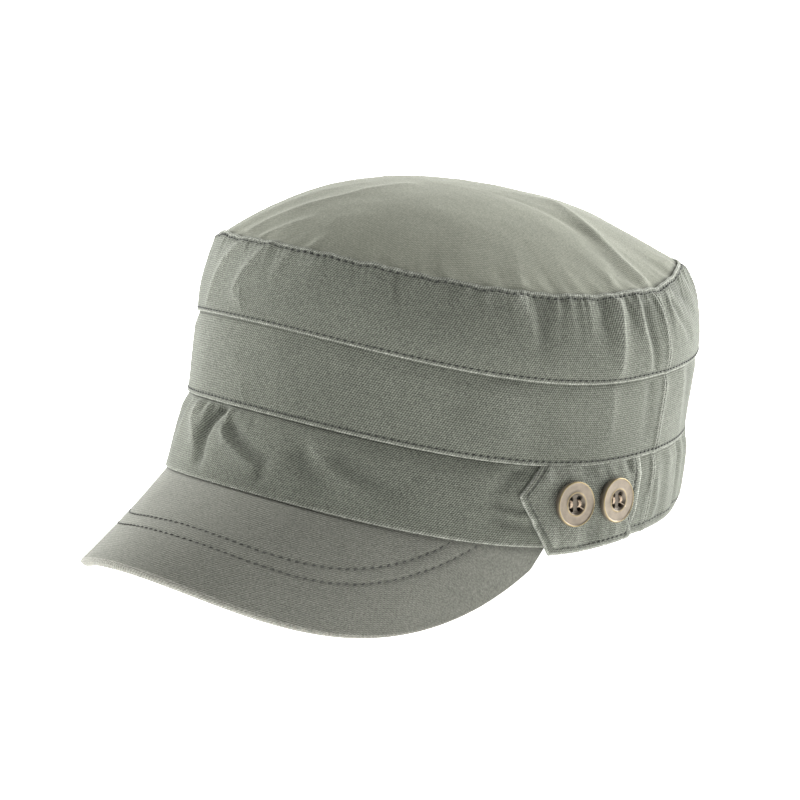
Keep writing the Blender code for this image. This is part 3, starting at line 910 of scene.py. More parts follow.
def rim_points(outer: Array, inner: Array, before: Array, count: int, squareness: float) -> Array:
    """Half circle from the outer edge of a sheet round to the inner one.

    Its cosine and sine are raised to a power: 1 keeps the circle, less makes it a squarer lip.

    Args:
        outer, inner: edge points of both faces, one row each.
        before: the outer face's points one step in from the edge.
        count: points on the half circle.
        squareness: the power.

    Returns:
        An array of rows, each with count points.
    """
    middle, half = (outer + inner) / 2, (outer - inner) / 2
    radius = np.linalg.norm(half, axis=-1, keepdims=True)
    ahead = outer - before
    ahead = ahead - half * (ahead * half).sum(-1, keepdims=True) / radius**2
    ahead /= np.linalg.norm(ahead, axis=-1, keepdims=True)
    angles = (math.pi * np.arange(1, count + 1) / (count + 1))[None, :, None]
    across = np.sign(np.cos(angles)) * np.abs(np.cos(angles)) ** squareness
    forward = np.sin(angles) ** squareness
    return middle[:, None] + half[:, None] * across + (ahead * radius)[:, None] * forward


def cloth_shell(
    name: str,
    outer: Array,
    inner: Array,
    data: Array,
    inner_step: int = 4,
    closed: bool = False,
    squareness: float = 1.0,
) -> Object:
    """A closed sheet of cloth from its two faces.

    Each column of the sheet is a ring: up the outer face, over the upper rim, down the inner face
    and round the lower rim. The cloth's flat height runs on all the way round it.

    Args:
        name: the piece's name.
        outer, inner: points of both faces, as columns of rows, the bottom row first.
        data: flat place, wear and shade of the outer face's points.
        inner_step: every so many rows the inner face keeps one.
        closed: the last column meets the first, and the top row closes on a pole.
        squareness: power that shapes the rim of the first row.

    Returns:
        The object: both faces, with half round rims between them and closed ends.
    """
    rim = 3
    columns, rows = outer.shape[:2]
    kept = np.unique(np.append(np.arange(0, rows, inner_step), rows - 1))
    lower_rim = rim_points(outer[:, 0], inner[:, 0], outer[:, 1], rim, squareness)[:, ::-1]
    sources = [np.arange(rows)]
    parts = [outer]
    if not closed:
        parts.append(rim_points(outer[:, -1], inner[:, -1], outer[:, -2], rim, 1.0))
        sources.append(np.full(rim, rows - 1))
    parts += [inner[:, kept[::-1]], lower_rim]
    sources += [kept[::-1], np.zeros(rim, dtype=int)]
    points = np.concatenate(parts, axis=1)
    source = np.concatenate(sources)
    ring = points.shape[1]
    spread = data[:, source].copy()
    spread[:, ring - rim - len(kept) :, 1] = flat_turn(data, outer, inner, kept, rim)
    if not closed:
        rise = data[:, -1:, 1] - data[:, -2:-1, 1]
        rim_step = 0.3 * MM
        spread[:, rows : rows + rim, 1] += np.sign(rise) * rim_step * np.arange(1, rim + 1)
    inner_start = rows if closed else rows + rim
    columns_a = np.arange(columns if closed else columns - 1)[:, None]
    columns_b = (columns_a + 1) % columns
    steps = np.arange(ring)[None]
    if closed:
        steps = steps[:, steps[0] != rows - 1]
    following = (steps + 1) % ring
    near, far = columns_a * ring, columns_b * ring
    quads = np.stack([near + steps, far + steps, far + following, near + following], axis=-1)
    points, spread = points.reshape(-1, 3), spread.reshape(-1, 4)
    faces = [quads.reshape(-1, 4)]
    if closed:
        top, under = near + rows - 1, near + rows
        top_next, under_next = far + rows - 1, far + rows
        pole = len(points)
        poles = np.stack([outer[:, -1].mean(axis=0), inner[:, -1].mean(axis=0)])
        points = np.concatenate([points, poles])
        spread = np.concatenate([spread, np.repeat(data[:, -1].mean(axis=0)[None], 2, axis=0)])
        faces.append(np.hstack([top, top_next, np.full_like(top, pole)]))
        faces.append(np.hstack([under_next, under, np.full_like(top, pole + 1)]))
    else:
        faces += end_faces(columns, rows, rim, kept, inner_start, ring)
    return mesh_object(name, points, faces, spread)


def flat_turn(data: Array, outer: Array, inner: Array, kept: Array, rim: int) -> Array:
    """Flat height of the cloth where it runs on round its lower rim and up the inner face.

    Args:
        data: flat place, wear and shade of the outer face's points.
        outer, inner: points of both faces.
        kept: rows that the inner face keeps.
        rim: points on the rim.

    Returns:
        The flat heights of the inner face from the top down, then those of the lower rim.
    """
    flat = data[..., 1]
    half_turn = math.pi / 2 * np.linalg.norm(outer[:, 0] - inner[:, 0], axis=-1)[:, None]
    sign = -np.sign(flat[:, 1:2] - flat[:, :1])
    start = flat[:, :1]
    inside = start + sign * half_turn - (flat[:, kept[::-1]] - start)
    around = start + sign * half_turn * np.arange(rim, 0, -1) / (rim + 1)
    return np.concatenate([inside, around], axis=1)


def end_faces(
    columns: int, rows: int, rim: int, kept: Array, inner_start: int, ring: int
) -> list[Array]:
    """Faces that close both ends of a sheet, small ones from the outer face to the inner.

    Args:
        columns, rows: size of the outer face.
        rim: points on each half round rim.
        kept: rows that the inner face keeps.
        inner_start: number of the inner face's first point, its top one.
        ring: points in a column.

    Returns:
        The corner numbers of the faces.
    """
    inner_of = {int(row): inner_start + len(kept) - 1 - i for i, row in enumerate(kept)}
    loops = []
    for low, high in zip(kept[:-1], kept[1:]):
        between = list(range(int(high), int(low), -1))
        loops.append([int(low), inner_of[int(low)], inner_of[int(high)], *between])
    top = rows - 1
    loops.append([top, inner_of[top], *range(inner_start - 1, top, -1)])
    loops.append([inner_of[0], 0, *range(ring - 1, ring - 1 - rim, -1)])
    last = (columns - 1) * ring
    faces = [np.array([[last + corner for corner in loop]]) for loop in loops]
    faces += [np.array([loop[::-1]]) for loop in loops]
    return faces


@dataclass(frozen=True)
class Lockstitch:
    """Sizes of a row of lockstitches."""

    pitch_mm: float = 2.6
    length_mm: float = 1.65
    radius_mm: float = 0.24
    slant_deg: float = 16.0
    sink_mm: float = 0.10

    def sew(self, name: str, path: Array, normals: Array) -> Object:
        """Sews along a path.

        Each stitch is a thin tube whose height falls with the square of the distance from its
        middle, so both ends dip into the cloth. The stitches stand a pitch apart along the path.

        Args:
            name: the piece's name.
            path: points on the cloth, close together.
            normals: outward directions there.

        Returns:
            One object with all the stitches.
        """
        steps = np.linalg.norm(np.diff(path, axis=0), axis=1)
        travelled = np.concatenate([[0], np.cumsum(steps)])
        pitch, length = self.pitch_mm * MM, self.length_mm * MM
        count = max(1, int(travelled[-1] // pitch))
        middles = (np.arange(count) + 0.5) * travelled[-1] / count
        place = sample_along(travelled, path, middles)
        after = sample_along(travelled, path, middles + pitch / 2)
        ahead = unit(after - sample_along(travelled, path, middles - pitch / 2))
        out = unit(sample_along(travelled, normals, middles))
        side = np.cross(out, ahead)
        slant = math.radians(self.slant_deg)
        ahead = ahead * math.cos(slant) + side * math.sin(slant)
        share = np.linspace(-1, 1, 5)[None, :, None, None]
        round_angle = np.linspace(0, TAU, 6, endpoint=False)[None, None, :, None]
        radius = self.radius_mm * MM * np.sqrt(np.clip(1 - 0.6 * share**2, 0.1, 1))
        lift = self.radius_mm * MM * (1 - 2.4 * share**2) - self.sink_mm * MM
        side = np.cross(out, ahead)
        place, ahead, out, side = (a[:, None, None, :] for a in (place, ahead, out, side))
        points = (
            place
            + ahead * share * length / 2
            + out * (lift + radius * np.sin(round_angle))
            - side * radius * np.cos(round_angle)
        )
        return tube_mesh(name, points)


def sample_along(travelled: Array, values: Array, at: Array) -> Array:
    """Values along a path at the given distances, by straight steps between its points."""
    return np.stack([np.interp(at, travelled, values[:, i]) for i in range(3)], axis=-1)


def travelled_grid(points: Array) -> Array:
    """Distances travelled over a grid of points, which lay its cloth flat.

    Args:
        points: columns of rows.

    Returns:
        For each point its distance across, from the middle column, and down.
    """
    across = np.linalg.norm(np.diff(points, axis=0), axis=-1)
    across = np.concatenate([0 * across[:1], np.cumsum(across, axis=0)])
    across = across - across[len(across) // 2]
    down = np.linalg.norm(np.diff(points, axis=1), axis=-1)
    down = np.concatenate([0 * down[:, :1], np.cumsum(down, axis=1)], axis=1)
    return np.stack([across, down], axis=-1)


def unit(vectors: Array) -> Array:
    """Vectors divided by their lengths."""
    return vectors / np.linalg.norm(vectors, axis=-1, keepdims=True)


def tube_mesh(name: str, points: Array) -> Object:
    """Tubes with closed ends.

    Args:
        name: the piece's name.
        points: for each tube its rings, and for each ring its points, the first axis the tubes'.

    Returns:
        One object with all the tubes.
    """
    tubes, rings, sides = points.shape[:3]
    start = (np.arange(tubes) * rings * sides)[:, None, None]
    near = start + (np.arange(rings - 1) * sides)[None, :, None]
    far = near + sides
    corner = np.arange(sides)[None, None]
    following = (corner + 1) % sides
    quads = np.stack([near + corner, near + following, far + following, far + corner], axis=-1)
    quads = quads.reshape(-1, 4)
    first = np.arange(tubes)[:, None] * rings * sides + np.arange(sides)[None, ::-1]
    last = np.arange(tubes)[:, None] * rings * sides + (rings - 1) * sides + np.arange(sides)[None]
    middles = points.mean(axis=2)
    steps = np.linalg.norm(np.diff(middles, axis=1), axis=-1)
    travelled = np.concatenate([np.zeros((tubes, 1)), np.cumsum(steps, axis=1)], axis=1)
    data = np.zeros((*points.shape[:3], 4))
    data[..., 0] = travelled[..., None]
    data[..., 1] = np.abs(np.linspace(-1, 1, sides, endpoint=False))
    return mesh_object(name, points.reshape(-1, 3), [quads, first, last], data.reshape(-1, 4))


@dataclass(frozen=True)
class SeamDetail:
    """How a topstitched edge looks from close by, as lengths in millimetres."""

    stitch_mm: float = 1.15
    pitch_mm: float = 2.6
    groove_mm: float = 0.20
    groove_width_mm: float = 0.42
    welt_mm: float = 0.06
    pucker_mm: float = 0.08
    edge_mm: float = 0.40

    def relief(self, distance: Array, along: Array) -> Array:
        """Height of the cloth near an edge.

        The welt between edge and stitches is half a sine, the groove a bell curve that each stitch
        deepens, and small waves, one to a stitch, die away beyond it.

        Args:
            distance: how far in from the edge.
            along: how far along it.

        Returns:
            Heights in metres.
        """
        inward = distance / MM
        beat = np.cos(TAU * along / (self.pitch_mm * MM))
        welt = self.welt_mm * np.sin(np.pi * np.clip(inward / self.stitch_mm, 0, 1))
        groove = self.groove_mm * bell(inward - self.stitch_mm, self.groove_width_mm) * (0.8 + 0.2 * beat)
        beyond = np.exp(-np.clip(inward - self.stitch_mm, 0, None) / 1.6)
        before = np.clip(inward / self.stitch_mm, 0, 1)
        return MM * (welt - groove + self.pucker_mm * beat * beyond * before)

    def wear(self, distance: Array, along: Array) -> Array:
        """Pale rubbed edge, patchy along its length and gone at the stitches."""
        patchy = 0.75 + 0.25 * lattice_noise(along, 0 * along, 2.2 * MM, 31)
        return patchy * (1 - smooth_step(distance / MM, self.edge_mm * 0.6, self.edge_mm * 1.9))

    def shade(self, distance: Array, along: Array) -> Array:
        """Painted shade in the groove, darkest at the needle holes between two stitches."""
        beat = 0.5 + 0.5 * np.cos(TAU * along / (self.pitch_mm * MM))
        return bell(distance / MM - self.stitch_mm, self.groove_width_mm) * (0.25 + 0.65 * beat)


@dataclass(frozen=True)
class Wall:
    """The wall of the cap in its three bands, each in a front and a back length."""

    form: CapForm
    seam: SeamDetail = SeamDetail()
    top_seam: SeamDetail = SeamDetail(
        stitch_mm=1.25, pitch_mm=2.8, pucker_mm=0.24, welt_mm=0.10, groove_mm=0.30, edge_mm=0.58
    )
    hem: SeamDetail = SeamDetail(stitch_mm=2.6, pitch_mm=2.8, welt_mm=0.26, groove_mm=0.30)
    column_mm: float = 0.48
    row_mm: float = 0.60
    crumple_mm: float = 0.32
    pucker_mm: float = 0.95
    side_welt_mm: float = 0.35
    hem_from_deg: float = 74.0
    hem_full_deg: float = 80.0
    hem_row_deg: tuple[float, float] = (98.0, 282.0)

    def half_angles(self, half: Half) -> Array:
        """Angles of the columns, half a gap short of each side seam.

        Args:
            half: the front or the back length.

        Returns:
            The angles in radians, evenly apart.
        """
        form = self.form
        short = math.degrees(form.gap / 2 / (form.half_width * form.rings[-1].width))
        if half is Half.FRONT:
            low, high = -form.side_seam_deg + short, form.side_seam_deg - short
        else:
            low, high = form.side_seam_deg + short, 360 - form.side_seam_deg - short
        low, high = math.radians(low), math.radians(high)
        count = int((form.around(high) - form.around(low)) / (self.column_mm * MM))
        return np.linspace(low, high, count + 1)

    def folds(self, level: Level, share: Array, t: Array) -> Array:
        """Height of the big folds: ridges along their lines, faded out where bands overlap.

        Args:
            level: the band.
            share, t: height share and angle of each point.

        Returns:
            Heights in metres.
        """
        form = self.form
        height = form.heights[level]
        along = form.around(t)
        ridges = []
        for ridge in BAND_RIDGES[level]:
            degrees, up = np.array(ridge.line).T
            line = np.stack([form.around(np.radians(degrees)), up * height], axis=-1)
            ridges.append((line, ridge.width_mm * MM, ridge.rise_mm * MM))
        push = ridge_field(along, share * height, ridges, form.turn)
        if level is Level.LOWER:
            push = push + self.gathers(share, t)
        bottom = smooth_step(share * height, 0, form.lap)
        top = 1 - smooth_step(share * height, height - 2.5 * MM, height - 0.3 * MM)
        return push * bottom * top

    def gathers(self, share: Array, t: Array) -> Array:
        """Upright waves of the elastic back: a cosine round the cap, bent by the height.

        Args:
            share, t: height share and angle of each point.

        Returns:
            Heights in metres.
        """
        form = self.form
        seam = math.radians(form.side_seam_deg)
        along = np.clip((t - seam) / (TAU - 2 * seam), 0, 1)
        fade = np.clip(6 * np.minimum(along, 1 - along), 0, 1)
        phase = TAU * form.gather_count * along
        fine = 0.45 * np.cos(2.3 * phase + 3.0 * share + 1.0)
        return form.gather_depth * fade * (np.cos(phase + 1.5 * share) + fine * (0.4 + share))

    def top_puckers(self, distance: Array, t: Array) -> Array:
        """Small gathers that start at the top seam: uneven waves that die away downwards.

        Args:
            distance: how far below the seam.
            t: angle of each point.

        Returns:
            Heights in metres.
        """
        form = self.form
        along = form.around(t)
        side = 0.35 + 0.65 * smooth_step(np.abs(np.sin(t)), 0.55, 0.95)
        wave = lattice_noise(along, 0.2 * distance, 2.8 * MM, 7)
        wave = wave + 0.5 * lattice_noise(along, 0.2 * distance, 1.5 * MM, 8)
        start = smooth_step(distance, 0.4 * MM, 2.0 * MM)
        return self.pucker_mm * MM * side * wave * start * np.exp(-distance / (6.5 * MM))

    def fine(self, level: Level, share: Array, t: Array) -> Array:
        """Height of the small detail: crumples, seam welts, grooves and puckers.

        Args:
            level: the band.
            share, t: height share and angle of each point.

        Returns:
            Heights in metres.
        """
        form = self.form
        height = form.heights[level]
        along, up = form.around(t), share * height
        base = sum(form.heights[:level])
        soft = self.crumple_mm * MM * crumple(along, up + base, 11 + 7 * int(level))
        push = soft * smooth_step(up, 0, 2.5 * MM) * (1 - smooth_step(up, height - 3 * MM, height))
        side_welt = self.side_welt_mm * MM * bell(self.seam_distance(t) - 0.8 * MM, 0.9 * MM)
        push = push + side_welt * smooth_step(height - up, 0, 4 * MM)
        if level is Level.LOWER:
            push = push + self.hemmed(t) * self.hem.relief(up, along)
        else:
            push = push + self.seam.relief(up, along)
        if level is Level.UPPER:
            push = push + self.top_seam.relief(height - up, along) + self.top_puckers(height - up, t)
        return push

    def face(
        self, level: Level, share: Array, t: Array, fine: bool = True, push: float = 0.0
    ) -> Array:
        """Points of a band's outer face.

        Up to share 1 it is the wall plus its folds, drawn in evenly over the last stretch so that
        it passes under the next band. Beyond 1 it runs on inside that band. Where the top's edge
        lies inside the upper band, a hyperbolic tangent keeps valleys from sinking through it.

        Args:
            level: the band.
            share, t: height share and angle of each point.
            fine: with the small detail.
            push: an extra distance outwards.

        Returns:
            One point for each pair.
        """
        form = self.form
        height = form.heights[level]
        inside = np.clip(share, 0, 1)
        drawn_in = 0.0
        if level is not Level.UPPER:
            drawn_in = form.inset * np.clip((inside - 1) * height / form.tuck + 1, 0, 1)
        relief = self.folds(level, inside, t)
        if fine:
            relief = relief + self.fine(level, inside, t)
        if level is Level.UPPER:
            limit = 0.8 * form.inset
            held = np.where(relief < 0, limit * np.tanh(relief / limit), relief)
            lapped = smooth_step(inside * height, height - form.lap - 2 * MM, height - form.lap)
            relief = relief + (held - relief) * lapped
        points = form.wall(level, inside, t, relief - drawn_in + push)
        if level is Level.UPPER:
            return points
        above = (share - inside) * height / form.heights[level + 1]
        lap = form.wall(level + 1, above, t, -form.inset + push)
        return np.where(np.expand_dims(share > 1, -1), lap, points)

    def marks(self, level: Level, share: Array, t: Array) -> Array:
        """Flat place, wear and shade: edges are worn, crests paled by wear and painted highlight,
        valleys and grooves darkened with painted shade.

        Args:
            level: the band.
            share, t: height share and angle of each point.

        Returns:
            Four values for each point.
        """
        form = self.form
        height = form.heights[level]
        inside = np.clip(share, 0, 1)
        along, up = form.around(t), inside * height
        base = sum(form.heights[:level])
        lift = (self.folds(level, inside, t) + self.fine(level, inside, t)) / MM
        # Crests paler, partly wear and partly painted highlight; valleys darker as painted shade
        wear = 0.16 * np.clip(lift, 0, 1.8)
        shade = 0.20 * np.clip(-lift, 0, 2.2)
        if level is Level.LOWER:
            wear = wear + 0.8 * self.hem.wear(up, along)
            shade = shade + self.hemmed(t) * self.hem.shade(up, along)
        else:
            wear = wear + 0.75 * self.seam.wear(up, along)
            shade = shade + self.seam.shade(up, along)
        if level is Level.UPPER:
            wear = wear + 0.65 * self.top_seam.wear(height - up, along)
            shade = shade + 0.7 * self.top_seam.shade(height - up, along)
        else:
            # Painted shadow along the band's top, where it runs in under the next band
            shade = shade + 0.5 * (1 - smooth_step(height - up, 0.1 * MM, 1.3 * MM))
        # Side seams paler: partly wear, partly painted highlight on the welt's ridge
        wear = wear + 0.5 * (1 - smooth_step(self.seam_distance(t), 0.3 * MM, 1.0 * MM))
        return np.stack([along, base + share * height, wear, shade], axis=-1)

    def hemmed(self, t: Array) -> Array:
        """1 where the hem is topstitched and 0 over the peak, with a smooth step beside it."""
        return smooth_step(np.abs(np.degrees(t)), self.hem_from_deg, self.hem_full_deg)

    def seam_distance(self, t: Array) -> Array:
        """Distance round the wall from the nearer of the two side seams."""
        seam, turn = self.form.around(np.radians(self.form.side_seam_deg)), self.form.turn
        return np.min([np.abs(self.form.around(t) - place) for place in (seam, -seam, turn - seam)], axis=0)

    def make_band(self, level: Level, half: Half) -> Object:
        """One length of one band, as a closed sheet that replaces its CAD node.

        Args:
            level: the band.
            half: its front or its back length.

        Returns:
            The piece.
        """
        form = self.form
        height = form.heights[level]
        angles = self.half_angles(half)
        shares = np.linspace(0, 1, int(height / (self.row_mm * MM)) + 1)
        if level is not Level.UPPER:
            shares = np.concatenate([shares, 1 + np.array([0.4, 0.8, 1.0]) * form.lap / height])
        t, share = np.meshgrid(angles, shares, indexing="ij")
        outer = self.face(level, share, t)
        inner = self.face(level, share, t, fine=False, push=-form.cloth)
        data = self.marks(level, share, t)
        node = f"{level.name.lower()}_band_{half.value}"
        piece = cloth_shell(node + "_twill", form.rest(outer), form.rest(inner), data)
        dressed(piece, BODY_TWILL)
        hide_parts(node)
        length = float(form.around(angles[-1]) - form.around(angles[0]))
        return piece

    def path(
        self, level: Level, share: float, low_deg: float, high_deg: float
    ) -> tuple[Array, Array]:
        """A level line of a band, in steps of 0.3 mm.

        Args:
            level: the band.
            share: height share of the line.
            low_deg, high_deg: angles of its ends.

        Returns:
            Its points and the outward directions there.
        """
        form = self.form
        low, high = math.radians(low_deg), math.radians(high_deg)
        count = int((form.around(high) - form.around(low)) / (0.3 * MM))
        t = np.linspace(low, high, count)
        level_share = np.full_like(t, share)
        points = form.rest(self.face(level, level_share, t))
        return points, form.rest_direction(form.wall_normal(level, level_share, t))

    def sew(self) -> list[Object]:
        """The rows of stitches on the seams and the hem.

        Returns:
            One piece for each row.
        """
        form = self.form
        seam = form.side_seam_deg
        heights = form.heights
        rows = (
            ("middle_seam_stitches", Level.MIDDLE, self.seam, False, -seam, 360 - seam),
            ("upper_seam_stitches", Level.UPPER, self.seam, False, -seam, 360 - seam),
            ("crown_seam_stitches", Level.UPPER, self.top_seam, True, -seam, 360 - seam),
            ("hem_stitches", Level.LOWER, self.hem, False, *self.hem_row_deg),
        )
        pieces = []
        for name, level, detail, from_top, low, high in rows:
            share = detail.stitch_mm * MM / heights[level]
            path, normals = self.path(level, 1 - share if from_top else share, low, high)
            pitch = detail.pitch_mm
            thread = Lockstitch(pitch_mm=pitch, length_mm=0.64 * pitch, radius_mm=0.29)
            pieces.append(dressed(thread.sew(name, path, normals), SEAM_THREAD))
        return pieces

    def make(self) -> list[Object]:
        """All six lengths and their stitches."""
        pieces = [self.make_band(level, half) for level in Level for half in Half]
        return pieces + self.sew()


@dataclass(frozen=True)
class Crown:
    """The domed top, with its edge turned down inside the upper band."""

    form: CapForm
    columns: int = 640
    crumple_mm: float = 0.35
    pucker_mm: float = 0.45
    edge_zone: float = 0.008
    pole_share: float = 0.015
    flat: tuple[float, float] = (0.178, 0.190)
    flat_area: float = 0.0266

    def relief(self, radius: Array, t: Array) -> Array:
        """Rise of the top's creases, crumples and of the puckers along its seam.

        Args:
            radius, t: radius share and angle of each point.

        Returns:
            Heights in metres.
        """
        form = self.form
        x, y = form.half_width * radius * np.sin(t), -form.half_width * radius * np.cos(t)
        ridges = []
        for ridge in CROWN_RIDGES:
            degrees, share = np.array(ridge.line).T
            angle = np.radians(degrees)
            outward = np.stack([np.sin(angle), -np.cos(angle)], axis=-1)
            line = form.half_width * share[:, None] * outward
            ridges.append((line, ridge.width_mm * MM, ridge.rise_mm * MM))
        rise = ridge_field(x, y, ridges, 1.0) + self.crumple_mm * MM * crumple(x, y, 51)
        distance = (1 - radius) * form.half_width
        reach = form.half_width - 0.25 * distance
        rim_x, rim_y = reach * np.sin(t), reach * np.cos(t)
        wave = lattice_noise(rim_x, rim_y, 4.5 * MM, 61)
        wave = wave + 0.5 * lattice_noise(rim_x, rim_y, 2.2 * MM, 62)
        rise = rise + self.pucker_mm * MM * wave * np.exp(-distance / (6 * MM))
        return rise * smooth_step(distance, 0, 3 * MM)

    def make(self) -> list[Object]:
        """The top as one closed sheet that replaces its CAD node.

        Returns:
            The piece, in a list.
        """
        form = self.form
        angles = np.linspace(0, TAU, self.columns, endpoint=False)
        zone = self.edge_zone / form.half_width
        near_edge = 1 - np.linspace(0, zone, 15)[:-1]
        radii = np.concatenate([near_edge, np.linspace(1 - zone, self.pole_share, 50)])
        t, radius = np.meshgrid(angles, radii, indexing="ij")
        lap = form.lap / form.heights[Level.UPPER]
        turned = 1 - lap * np.linspace(1, 0, 6)[:-1]
        edge_t, edge_share = np.meshgrid(angles, turned, indexing="ij")
        edge = form.wall(Level.UPPER, edge_share, edge_t, -form.inset)
        dome = form.dome(radius, t)
        relief = self.relief(radius, t)
        outer = dome.copy()
        outer[..., 2] += relief
        inner_edge = form.wall(Level.UPPER, edge_share, edge_t, -form.inset - form.cloth)
        scale = 1 - form.cloth / form.half_width
        inner = dome.copy()
        middle = dome[:, -1].mean(axis=0)[:2]
        inner[..., :2] = middle + (dome[..., :2] - middle) * scale
        inner[..., 2] += 0.6 * relief - form.cloth
        # Crests paler, partly wear and partly painted highlight; painted shadow along the edge where the top
        # runs in under the upper band, and painted shade in the valleys
        wear = 0.10 * np.clip(relief / MM, 0, 1.5)
        shade = 0.55 * (1 - smooth_step((1 - radius) * form.half_width, 0.3 * MM, 1.6 * MM))
        shade = shade + 0.12 * np.clip(-relief / MM, 0, 1.5)
        data = np.concatenate([outer[..., :2], np.stack([wear, shade], axis=-1)], axis=-1)
        edge_data = np.repeat(data[:, :1], len(turned), axis=1)
        piece = cloth_shell(
            "crown_top_twill",
            form.rest(np.concatenate([edge, outer], axis=1)),
            form.rest(np.concatenate([inner_edge, inner], axis=1)),
            np.concatenate([edge_data, data], axis=1),
            closed=True,
        )
        dressed(piece, CROWN_TWILL)
        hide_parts("crown_top")
        return [piece]


@dataclass(frozen=True)
class Peak:
    """The short curved peak, stiffened inside, with two rows of topstitching."""

    form: CapForm
    # Points of one half of each row, as degrees and shares of the peak's reach
    rows: tuple[tuple[str, Line], ...] = (
        (
            "peak_inner_stitches",
            (
                (0.0, 0.455), (15.0, 0.470), (22.0, 0.480), (29.5, 0.474), (36.0, 0.448), (40.6, 0.402),
                (44.8, 0.324), (48.3, 0.226), (51.5, 0.086), (52.5, 0.012),
            ),
        ),
        (
            "peak_outer_stitches",
            (
                (0.0, 0.588), (10.0, 0.588), (22.0, 0.598), (32.3, 0.598), (38.7, 0.574), (43.5, 0.530),
                (47.5, 0.464), (50.9, 0.372), (54.4, 0.240), (57.3, 0.070), (58.3, 0.012),
            ),
        ),
    )
    thread: Lockstitch = Lockstitch(pitch_mm=2.85, length_mm=2.0)
    groove_mm: float = 0.30
    groove_width_mm: float = 0.7
    quilt_mm: float = 0.12
    crumple_mm: float = 0.20
    end_thinning: float = 0.5
    flat: tuple[float, float] = (0.068, 0.190)
    flat_area: float = 0.0090

    def row_path(self, line: Line) -> tuple[Array, Array]:
        """A row mirrored to the far side and smoothed between its points.

        Args:
            line: points of one half of the row, as degrees and shares of the peak's reach.

        Returns:
            Angles and shares along the row.
        """
        degrees, shares = np.array(line).T
        degrees = np.concatenate([-degrees[:0:-1], degrees])
        shares = np.concatenate([shares[:0:-1], shares])
        fine = np.linspace(degrees[0], degrees[-1], 1200)
        kernel = bell(np.linspace(-2, 2, 41), 1.0)
        padded = np.pad(np.interp(fine, degrees, shares), 20, mode="reflect", reflect_type="odd")
        smoothed = np.convolve(padded, kernel / kernel.sum(), mode="valid")
        return np.radians(fine), np.clip(smoothed, 0.004, 1)

    def row_distance(self, points: Array, line: Line) -> Array:
        """Distance of each point from a row, by the nearest of its close points.

        Args:
            points: the smooth peak's points.
            line: points of one half of the row.

        Returns:
            Distances in metres.
        """
        t, share = self.row_path(line)
        row = self.form.peak(share, t)[::3]
        flat = points.reshape(-1, 3)
        nearest = np.full(len(flat), np.inf)
        for near in row:
            nearest = np.minimum(nearest, ((flat - near) ** 2).sum(axis=1))
        return np.sqrt(nearest).reshape(points.shape[:-1])

    def relief(self, smooth: Array, share: Array) -> tuple[Array, Array]:
        """Height of the upper face above the smooth peak, and the shade in its grooves.

        Each row presses a groove with the profile of a bell curve, the strip between two rows stands up
        a little, and the cloth is softly uneven.

        Args:
            smooth: the smooth peak's points.
            share: their shares of the reach.

        Returns:
            Heights in metres, and shares of shade.
        """
        distances = [self.row_distance(smooth, line) for _, line in self.rows]
        groove = sum(bell(distance, self.groove_width_mm * MM) for distance in distances)
        soft = self.crumple_mm * crumple(smooth[..., 0], smooth[..., 1], 81)
        quilt = self.quilt_mm * (1 - bell(np.minimum(*distances), 3.0 * MM))
        fade = smooth_step(share, 0.01, 0.08)
        height = MM * fade * (soft + quilt - self.groove_mm * groove)
        return height, 0.12 * np.clip(groove, 0, 1)

    def make(self) -> list[Object]:
        """The peak, which replaces its CAD node, and its stitches.

        Returns:
            The pieces.
        """
        form = self.form
        cut = form.peak_cut_share * math.radians(form.peak_end_deg)
        # The columns stand closer together towards the ends, where the edge curves most
        bunching = 1.2
        angles = cut * np.sin(bunching * np.linspace(-1, 1, 360)) / math.sin(bunching)
        shares = np.concatenate([np.linspace(1, 0.9, 10)[:-1], np.linspace(0.9, 0, 62)])
        t, share = np.meshgrid(angles, shares, indexing="ij")
        smooth = form.peak(share, t)
        up = unit(np.cross(np.gradient(smooth, axis=0), np.gradient(smooth, axis=1)))
        relief, groove_shade = self.relief(smooth, share)
        outer = smooth + up * relief[..., None]
        root_thin = form.cloth / form.peak_thickness
        thickness = form.peak_thickness * (root_thin + (1 - root_thin) * smooth_step(share, 0.0, 0.12))
        thickness = thickness * (1 - self.end_thinning * smooth_step(np.abs(t) / cut, 0.62, 0.98))
        inner = smooth - up * thickness[..., None]
        turned = np.linspace(0, form.peak_turn_up / form.heights[0], 5)[1:]
        turn_t, turn_share = np.meshgrid(angles, turned, indexing="ij")
        outer_turn = form.wall(Level.LOWER, turn_share, turn_t, -form.inset)
        inner_turn = form.wall(Level.LOWER, turn_share, turn_t, -form.inset - form.cloth)
        outer = np.concatenate([outer, outer_turn], axis=1)
        inner = np.concatenate([inner, inner_turn], axis=1)
        from_edge, from_root = (1 - share) * form.peak_reach(t), share * form.peak_reach(t)
        data = np.zeros((*outer.shape[:2], 4))
        data[..., :2] = travelled_grid(outer)
        # Pale edge: wear of the peak's edge, and painted highlight on its lip
        data[:, : len(shares), 2] = 0.36 * (1 - smooth_step(from_edge, 0, 0.5 * MM))
        # Painted shade in the stitch grooves, and painted shadow at the root under the band's edge
        data[:, : len(shares), 3] = groove_shade + 0.45 * (1 - smooth_step(from_root, 0, 1.6 * MM))
        piece = cloth_shell("peak_twill", form.rest(outer), form.rest(inner), data, squareness=0.6)
        dressed(piece, PEAK_TWILL)
        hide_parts("peak")
        return [piece, *self.sew()]

    def sew(self) -> list[Object]:
        """The two rows of topstitching.

        Returns:
            One piece for each row.
        """
        form = self.form
        pieces = []
        for name, line in self.rows:
            row_t, row_share = self.row_path(line)
            path = form.peak(row_share, row_t)
            ahead = np.gradient(path, axis=0)
            inward_row = form.peak(np.clip(row_share + 0.01, 0, 1), row_t) - path
            normals = unit(np.cross(inward_row, ahead))
            normals *= np.sign(normals[:, 2:])
            path = path - normals * (self.groove_mm * 0.5 * MM)
            stitches = self.thread.sew(name, form.rest(path), form.rest_direction(normals))
            pieces.append(dressed(stitches, PALE_THREAD))
        return pieces


